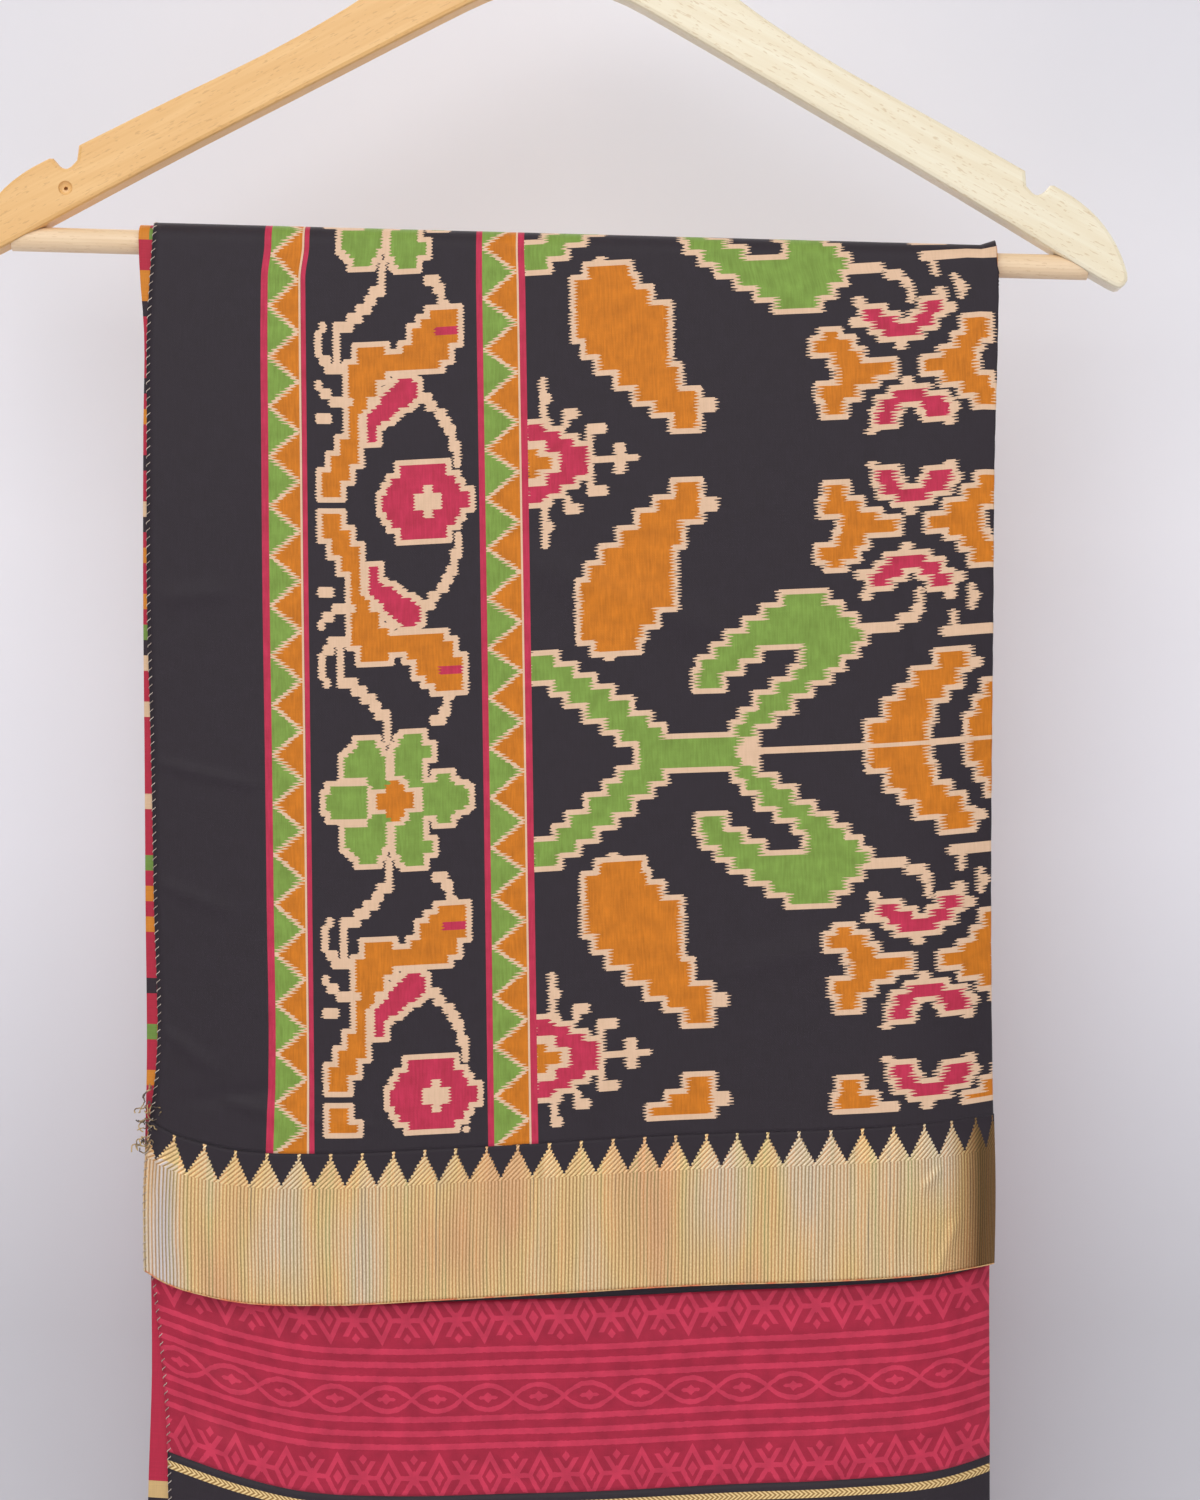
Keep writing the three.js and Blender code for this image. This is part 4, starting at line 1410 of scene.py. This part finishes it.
def steelMaterial():
    material, tree, shader = newMaterial("hook_steel")
    place = addNode(tree, "ShaderNodeTexCoord").outputs["Object"]
    scuff = noiseAt(tree, place, 400.0, 3.0)
    shader.inputs["Base Color"].default_value = srgb(196, 198, 202)
    shader.inputs["Metallic"].default_value = 1.0
    feed(tree, shader.inputs["Roughness"], timesPlus(tree, scuff, 0.2, 0.18))
    silkBump(tree, shader, scuff, 0.1, 0.1)
    return material


stageLook = {"wall": srgb(222, 220, 226), "floor": srgb(214, 213, 218)}


# Pale, with painted light in the middle under the hanger and painted shade towards the bottom. The wall is
# seen from the front only and lets light through, so that the back is lit.
def wallMaterial():
    material, tree, shader = newMaterial("studio_wall")
    place = addNode(tree, "ShaderNodeTexCoord").outputs["Object"]
    mottle = noiseAt(tree, place, 3.0, 2.0)
    colour = blendColour(tree, mottle, stageLook["wall"], srgb(228, 226, 231))
    split = addNode(tree, "ShaderNodeSeparateXYZ", {"Vector": place})
    # Painted light: brighter near the middle, under the hanger
    paintedLightAside = times(tree, calc(tree, "ABSOLUTE", split.outputs["X"]), 4.5)
    colour = shaded(tree, colour, ramp(tree, paintedLightAside, [(0, (1.13, 1.13, 1.13, 1)), (1, (1, 1, 1, 1))]))
    # Painted light and shade by height: brighter at mid height, painted shade towards the bottom
    low = calc(tree, "DIVIDE", plus(tree, split.outputs["Z"], 0.8), 0.8)
    shade = ramp(tree, low, [
        (0.19, (0.78, 0.79, 0.79, 1)),
        (0.45, (1.1, 1.11, 1.11, 1)),
        (0.62, (1.16, 1.17, 1.16, 1)),
        (0.84, (1.03, 1.04, 1.03, 1)),
        (1.0, (1.0, 1.0, 0.99, 1)),
    ])
    feed(tree, shader.inputs["Base Color"], shaded(tree, colour, shade))
    shader.inputs["Roughness"].default_value = 0.9
    clear = addNode(tree, "ShaderNodeBsdfTransparent")
    behind = addNode(tree, "ShaderNodeNewGeometry").outputs["Backfacing"]
    isShadow = addNode(tree, "ShaderNodeLightPath").outputs["Is Shadow Ray"]
    mixer = addNode(tree, "ShaderNodeMixShader", {0: either(tree, behind, isShadow)})
    tree.links.new(shader.outputs["BSDF"], mixer.inputs[1])
    tree.links.new(clear.outputs["BSDF"], mixer.inputs[2])
    tree.links.new(mixer.outputs["Shader"], tree.nodes["Material Output"].inputs["Surface"])
    return material


def floorMaterial():
    material, tree, shader = newMaterial("studio_floor")
    place = addNode(tree, "ShaderNodeTexCoord").outputs["Object"]
    mottle = noiseAt(tree, place, 2.0, 2.0)
    colour = blendColour(tree, mottle, stageLook["floor"], srgb(222, 221, 226))
    feed(tree, shader.inputs["Base Color"], colour)
    shader.inputs["Roughness"].default_value = 0.85
    return material


# The panels: every stretch of plain or banded cloth, as a thin shell on its own solid
panelShape = {
    "turnSteps": 4,
    "behind": (2, 6),
    "innerRightReach": 3.0,
    "backRightReach": 2.4,
    "backReachFrom": (405, 480),
    "innerSag": 1.1,
}


# Rows run from the first line to the last. Inwards is the side that the fold and the lining lie on.
def buildPanel(name, material, setup):
    radius = clothSizes["foldRadius"]
    first = panelLines[setup["first"]]
    last = panelLines[setup["last"]]
    flat = np.linspace(0, 1, setup["columns"] + 1)
    angle = np.linspace(0, math.pi, panelShape["turnSteps"] + 1)[1:]
    behind = np.array(panelShape["behind"], float)
    part = np.concatenate([flat, np.ones(len(angle) + len(behind))])[None, :]
    turned = np.concatenate([flat * 0, angle, behind * 0 + math.pi])[None, :]
    past = np.concatenate([flat * 0, angle * 0, behind])[None, :]
    rowPart = np.linspace(0, 1, setup["rows"] + 1)[:, None]
    guess = mix(*clothSizes["span"], part)
    travel = mix(first(guess), last(guess), rowPart)
    drop = dropOf(travel)
    right = setup["right"](drop) - radius
    x = mix(setup["left"](drop), right, part) + radius * np.sin(turned) - past
    inset = radius * (1 - np.cos(turned))
    height = np.maximum(creaseHeight(setup["creases"], x, drop), clothSizes["deepestTrough"])
    height = height * (turned == 0)
    inwards = setup["inwards"]
    base = setup["level"](travel) + inwards * inset
    face = clothPoint(x, travel, base - inwards * height)
    fromEdge = np.minimum(x - setup["left"](drop), right - x - clothSizes["foldRoom"])
    length = np.abs(last(guess) - first(guess))
    fromEdge = np.minimum(fromEdge, np.minimum(rowPart, 1 - rowPart) * length)
    thickness = clothSizes["edgeThickness"]
    depth = np.where(turned == 0, liningDepth(fromEdge), thickness * np.cos(turned))
    depth = depth - liningCreases(height, fromEdge)
    lining = clothPoint(x - thickness / 2 * np.sin(turned), travel, base + inwards * depth)
    piece, _, kept = silkShell(name, face, lining, material)
    across = np.broadcast_to(guess + radius * turned + past, travel.shape)
    along = np.broadcast_to(mix(*setup["along"], rowPart), travel.shape)
    shellUv(piece, kept, across, along)
    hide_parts(setup["node"])
    return piece


def innerLeft(drop):
    return readTable(innerEdges, "drop", "left", drop)


def innerRight(drop):
    return sheetRight(drop) + panelShape["innerRightReach"]


def backRight(drop):
    return sheetRight(drop) + panelShape["backRightReach"] * smoothStep(*panelShape["backReachFrom"], drop)


bandToBorder = clothSizes["backHemBelowBand"] - clothSizes["borderHeight"]

# Lines across the cloth, as travel by the place across
panelLines = {
    "frontHem": frontHem,
    "frontBorderTop": borderTop,
    "innerTop": lambda x: onBack(bandTop(x) - clothSizes["innerFieldHeight"]),
    "innerBandTop": lambda x: onBack(bandTop(x) + panelShape["innerSag"]),
    "innerBandFoot": lambda x: onBack(bandFoot(x) + panelShape["innerSag"]),
    "bandTop": lambda x: onBack(bandTop(x)),
    "bandFoot": lambda x: onBack(bandFoot(x)),
    "backBorderTop": lambda x: onBack(backBorderTop(x)),
    "backHem": lambda x: onBack(backHem(x)),
}

# Creases of the other flap and of the innermost layer
innerCreases = [
    ((-152, 436), (-118, 458), 5, 0.9),
    ((-141, 453), (-126, 468), 3, -0.5),
    ((-148, 462), (-122, 478), 3.5, 0.6),
    ((-150, 430), (-120, 426), 6, 0.6),
    ((-20, 420), (60, 432), 8, 0.5),
    ((90, 470), (150, 455), 7, 0.5),
    ((-100, 520), (-40, 540), 5, 0.6),
    ((40, 560), (60, 640), 6, -0.5),
    ((-140, 600), (-134, 680), 3, 0.5),
    ((120, 590), (126, 690), 4, 0.5),
]
backPanelCreases = [
    ((-120, 430), (-60, 438), 5, 0.6),
    ((40, 450), (120, 442), 6, 0.6),
    ((-30, 500), (-10, 620), 6, 0.6),
    ((90, 520), (150, 560), 4, 0.6),
    ((-140, 590), (-110, 640), 4, -0.5),
    ((-86, 636), (-84, 690), 1.2, 0.4),
    ((36, 634), (38, 690), 1.2, -0.4),
    ((130, 636), (129, 690), 1.4, 0.4),
]


def panelTable(zari, redBand, hemSilk):
    outer = {"left": sheetLeft, "right": backRight, "level": sheetOuter, "inwards": -1}
    front = {**outer, "creases": frontCreases}
    back = {**outer, "creases": backPanelCreases}
    inner = {"left": innerLeft, "right": innerRight, "level": liningInner, "inwards": 1}
    inner["creases"] = innerCreases
    border = clothSizes["borderHeight"]
    band = clothSizes["redBandHeight"]
    hem = bandToBorder
    keys = ("node", "slot", "first", "last", "along", "rows", "columns", "flat")
    table = [
        ("front_border", zari, front, (
            "front_zari_border", "zari_border", "frontHem", "frontBorderTop",
            (0, border), 44, 320, (0.335, 0.059))),
        ("back_band", redBand, back, (
            "back_red_band", "red_silk", "bandTop", "bandFoot",
            (0, band), 34, 120, (0.330, 0.076))),
        ("back_hem_stretch", hemSilk, back, (
            "back_hem_field", "black_silk", "bandFoot", "backBorderTop",
            (0, hem), 60, 120, (0.330, 0.146))),
        ("back_border", zari, back, (
            "back_zari_border", "zari_border", "backBorderTop", "backHem",
            (border, 0), 30, 160, (0.330, 0.059))),
        ("inner_stretch", hemSilk, inner, (
            "inner_field", "black_silk", "innerBandTop", "innerTop",
            (90, 116), 10, 120, (0.328, 0.026))),
        ("inner_band", redBand, inner, (
            "inner_red_band", "red_silk", "innerBandFoot", "innerBandTop",
            (band, 0), 40, 170, (0.328, 0.076))),
        ("inner_hem_stretch", hemSilk, inner, (
            "inner_hem_field", "black_silk", "backBorderTop", "innerBandFoot",
            (hem, 0), 60, 150, (0.323, 0.146))),
        ("inner_border", zari, inner, (
            "inner_zari_border", "zari_border", "backHem", "backBorderTop",
            (0, border), 30, 160, (0.323, 0.059))),
    ]
    return [(name, material, {**side, **dict(zip(keys, values))}) for name, material, side, values in table]


# The folded layers between: seven flattened loops, each a pair of layers joined at both sides
foldedLayers = {
    "pairs": 7,
    "columns": 40,
    "rows": (44, 9, 64),
    "extraRoom": 0.2,
    "fill": 0.8,
    "hemAbove": (3.2, 4.6, 3.8, 5.2, 3.5, 4.9, 4.1),
    "backHemAbove": (2.6, 5.0, 1.4, 3.8, 0.8, 4.4, 2.0),
    "leftInset": (0.0, 1.1, 0.4, 1.6, 0.7, 1.3, 0.2),
    "rightInset": (1.2, 2.0, 0.9, 1.7, 1.1, 2.2, 1.4),
}


# Once round a flattened loop: the place across, the depth between its two layers, and the side turns
def foldedLoop():
    flat = np.linspace(0, 1, foldedLayers["columns"] + 1)
    turn = np.array([0.25, 0.5, 0.75]) * math.pi
    part = np.concatenate([flat, turn * 0 + 1, flat[::-1], turn * 0])
    depth = np.concatenate([flat * 0, (1 - np.cos(turn)) / 2, flat * 0 + 1, (1 + np.cos(turn)) / 2])
    bulge = np.concatenate([flat * 0, np.sin(turn), flat * 0, -np.sin(turn)])
    return part[None, :], depth[None, :], bulge[None, :]


def buildFoldedLayers(material):
    layers = foldedLayers
    points = []
    faces = []
    uvs = []
    part, depth, bulge = foldedLoop()
    guess = mix(*clothSizes["span"], part)
    for k in range(layers["pairs"]):
        top = frontHem(guess) - layers["hemAbove"][k]
        bottom = onBack(backHem(guess) - layers["backHemAbove"][k])
        barFront = np.zeros_like(top)
        barBack = barFront - overBar
        stretches = [(top, barFront), (barFront, barBack), (barBack, bottom)]
        travel = [
            mix(start, end, np.arange(count)[:, None] / count)
            for (start, end), count in zip(stretches, layers["rows"])
        ]
        travel = np.concatenate([*travel, bottom])
        drop = dropOf(travel)
        share = (foldsWall(travel) + layers["extraRoom"]) / layers["pairs"]
        outer = foldsInner(travel) + foldsWall(travel) + layers["extraRoom"] - k * share
        left = readTable(sideEdges, "drop", "foldLeft", drop) + layers["leftInset"][k]
        right = backRight(drop) - layers["rightInset"][k]
        thickness = share * layers["fill"]
        x = mix(left, right, part) + bulge * thickness / 2
        loop = clothPoint(x, travel, outer - depth * thickness)
        first = sum(len(block) for block in points)
        rows, columns = travel.shape
        index = first + np.arange(rows * columns).reshape(rows, columns)
        faces += tubeQuads(index).tolist() + [index[0][::-1].tolist(), index[-1].tolist()]
        points.append(loop.reshape(-1, 3))
        around = np.broadcast_to(mix(-165, 167, part), travel.shape)
        uvs.append(np.stack([around + 40 * k, travel], -1).reshape(-1, 2))
    piece = meshObject("folded_layers", np.concatenate(points), faces, material)
    writeCloth(piece, np.concatenate(uvs))
    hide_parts("hidden_folds")
    return piece


threadSides = 5


# A round thread through points, with every ring square to the route
def threadMesh(route, radius):
    route = np.asarray(route, float)
    ahead = np.gradient(route, axis=0)
    ahead /= np.linalg.norm(ahead, axis=1)[:, None]
    side = np.cross(ahead, [0.0, 1.0, 0.0])
    small = np.linalg.norm(side, axis=1) < 0.2
    side[small] = np.cross(ahead[small], [1.0, 0.0, 0.0])
    side /= np.linalg.norm(side, axis=1)[:, None]
    up = np.cross(side, ahead)
    angle = (np.arange(threadSides) * 2 * math.pi / threadSides)[None, :, None]
    ring = route[:, None] + radius * (np.cos(angle) * side[:, None] + np.sin(angle) * up[:, None])
    index = np.arange(len(route) * threadSides).reshape(-1, threadSides)
    return ring.reshape(-1, 3), tubeQuads(index).tolist() + [index[0].tolist(), index[-1][::-1].tolist()]


# Overlock stitches wound round a cut edge
stitching = {"pitch": 3.2, "perTurn": 8, "reach": 1.15, "depth": 0.34, "radius": 0.17}


def overlock(name, edge, travelStart, travelEnd, level, inwards, material):
    turns = abs(travelEnd - travelStart) / stitching["pitch"]
    count = int(turns * stitching["perTurn"])
    travel = np.linspace(travelStart, travelEnd, count + 1)
    phase = np.arange(count + 1) * 2 * math.pi / stitching["perTurn"]
    drop = dropOf(travel)
    middle = inwards * clothSizes["edgeThickness"] / 2
    x = edge(drop) + stitching["reach"] * (0.5 - 0.62 * np.cos(phase))
    route = clothPoint(x, travel, level(travel) + middle + stitching["depth"] * np.sin(phase))
    points, faces = threadMesh(route, stitching["radius"])
    return meshObject(name, points, faces, material)


# The coloured selvage thread along the front hem
selvage = {"left": -162.6, "right": 166.5, "points": 240, "below": 0.1, "sunk": 0.1, "radius": 0.28}


def hemSelvage(material):
    x = np.linspace(selvage["left"], selvage["right"], selvage["points"])
    travel = frontHem(x) + selvage["below"]
    height = creaseHeight(frontCreases, x, dropOf(travel))
    route = clothPoint(x, travel, sheetOuter(travel) + height - selvage["sunk"])
    points, faces = threadMesh(route, selvage["radius"])
    return meshObject("hem_selvage", points, faces, material)


# Loose gold and grey threads at the front border's left edge
frayedThreads = {
    "count": 22,
    "x": -162.6,
    "drop": 345,
    "spread": 17,
    "length": 11,
    "steps": 14,
    "radius": 0.26,
    "farthestOut": 6,
}


def frayedTuft(material):
    setup = frayedThreads
    chance = random.Random(7)
    points = []
    faces = []
    for _ in range(setup["count"]):
        x = setup["x"] + chance.uniform(-0.5, 2)
        drop = setup["drop"] + chance.uniform(-0.6, 0.5) * setup["spread"]
        start = Vector(clothPoint(x, drop, sheetOuter(drop) + 0.1).tolist())
        heading = Vector((chance.uniform(-1, 0.1), chance.uniform(-0.5, 0.1), chance.uniform(-1, 0.7)))
        step = setup["length"] / setup["steps"] * chance.uniform(0.5, 1.1)
        route = [start]
        for _ in range(setup["steps"]):
            heading += Vector([chance.uniform(-0.7, 0.7) for _ in range(3)])
            heading.normalize()
            reached = route[-1] + heading * step
            reached.x = max(reached.x, setup["x"] - setup["farthestOut"])
            reached.y = min(reached.y, start.y + 0.2)
            route.append(reached)
        ring, quads = threadMesh([list(point) for point in route], setup["radius"])
        first = sum(len(block) for block in points)
        faces += [[first + corner for corner in quad] for quad in quads]
        points.append(ring)
    return meshObject("frayed_threads", np.concatenate(points), faces, material)


stageSetup = {"floorHeight": -1000, "wallAway": 120, "reach": 20000}


def makeStage(material):
    half = stageSetup["reach"] * mm
    floorZ = stageSetup["floorHeight"] * mm
    wallY = stageSetup["wallAway"] * mm
    left, right = -half, half
    shapes = {
        "floor": [(left, -half, floorZ), (right, -half, floorZ), (right, half, floorZ), (left, half, floorZ)],
        "wall": [(left, wallY, floorZ), (right, wallY, floorZ), (right, wallY, half), (left, wallY, half)],
    }
    for name, corners in shapes.items():
        mesh = bpy.data.meshes.new(name)
        mesh.from_pydata(corners, [], [(0, 1, 2, 3)])
        mesh.materials.append(material[name])
        piece = bpy.data.objects.new(name, mesh)
        bpy.context.collection.objects.link(piece)


def dressCad(names, material):
    for name in names:
        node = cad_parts[name]
        node.data.materials.clear()
        node.data.materials.append(material)


# Soft area lights: place in metres, size and power; each looks at the middle of the cloth
lights = [
    {"name": "front_top", "place": (-0.7, -2.2, 1.1), "size": 2.4, "power": 41},
    {"name": "front_low", "place": (0.8, -2.4, 0.3), "size": 2.4, "power": 14},
    {"name": "rear_left", "place": (-1.2, 2.2, 0.9), "size": 2.0, "power": 40},
    {"name": "rear_right", "place": (1.3, 2.2, 0.2), "size": 2.0, "power": 22},
]
lightTarget = (0.014, 0, -0.4)
worldLook = {"colour": (0.86, 0.86, 0.88, 1), "strength": 0.46}


def makeLights():
    target = Vector(lightTarget)
    for setup in lights:
        data = bpy.data.lights.new(setup["name"], "AREA")
        data.shape = "SQUARE"
        data.size = setup["size"]
        data.energy = setup["power"]
        lamp = bpy.data.objects.new(setup["name"], data)
        lamp.location = setup["place"]
        lamp.rotation_euler = (target - Vector(setup["place"])).to_track_quat("-Z", "Y").to_euler()
        bpy.context.collection.objects.link(lamp)
    world = bpy.data.worlds.new("studio")
    world.use_nodes = True
    background = world.node_tree.nodes["Background"]
    background.inputs["Color"].default_value = worldLook["colour"]
    background.inputs["Strength"].default_value = worldLook["strength"]
    bpy.context.scene.world = world
    bpy.context.scene.view_settings.view_transform = "Standard"


buildPrintedField(printedSilk())
print("printed layer made")

for name, material, setup in panelTable(zariSilk(), redSilk(), hemSilk()):
    buildPanel(name, material, setup)
print("panels made")

buildFoldedLayers(foldedSilk())
print("folded layers made")

lightThread = threadLook("overlock_thread", srgb(214, 200, 186), srgb(176, 160, 148))
cutEdge = -162
hemTravel = float(frontHem(cutEdge)) - 1
backTravel = float(onBack(backHem(cutEdge))) + 1
overlock("front_overlock", sheetLeft, hemTravel, backTravel, sheetOuter, -1, lightThread)
innerStart = float(panelLines["innerTop"](-160))
overlock("inner_overlock", innerLeft, innerStart, backTravel, liningInner, 1, lightThread)
hemSelvage(threadLook("selvage_thread", srgb(232, 132, 88), srgb(222, 178, 122)))
frayedTuft(threadLook("frayed_thread", srgb(92, 80, 72), srgb(206, 176, 120)))
print("stitches and loose threads made")

dressCad(["hanger_arm_left"], woodMaterial("golden_wood"))
dressCad(["hanger_arm_right"], woodMaterial("pale_wood"))
dressCad(["hanger_bar"], woodMaterial("bar_wood"))
dressCad(["hanger_hook"], steelMaterial())
print("hanger dressed")

makeStage({"wall": wallMaterial(), "floor": floorMaterial()})
makeLights()
print("stage and lights made")
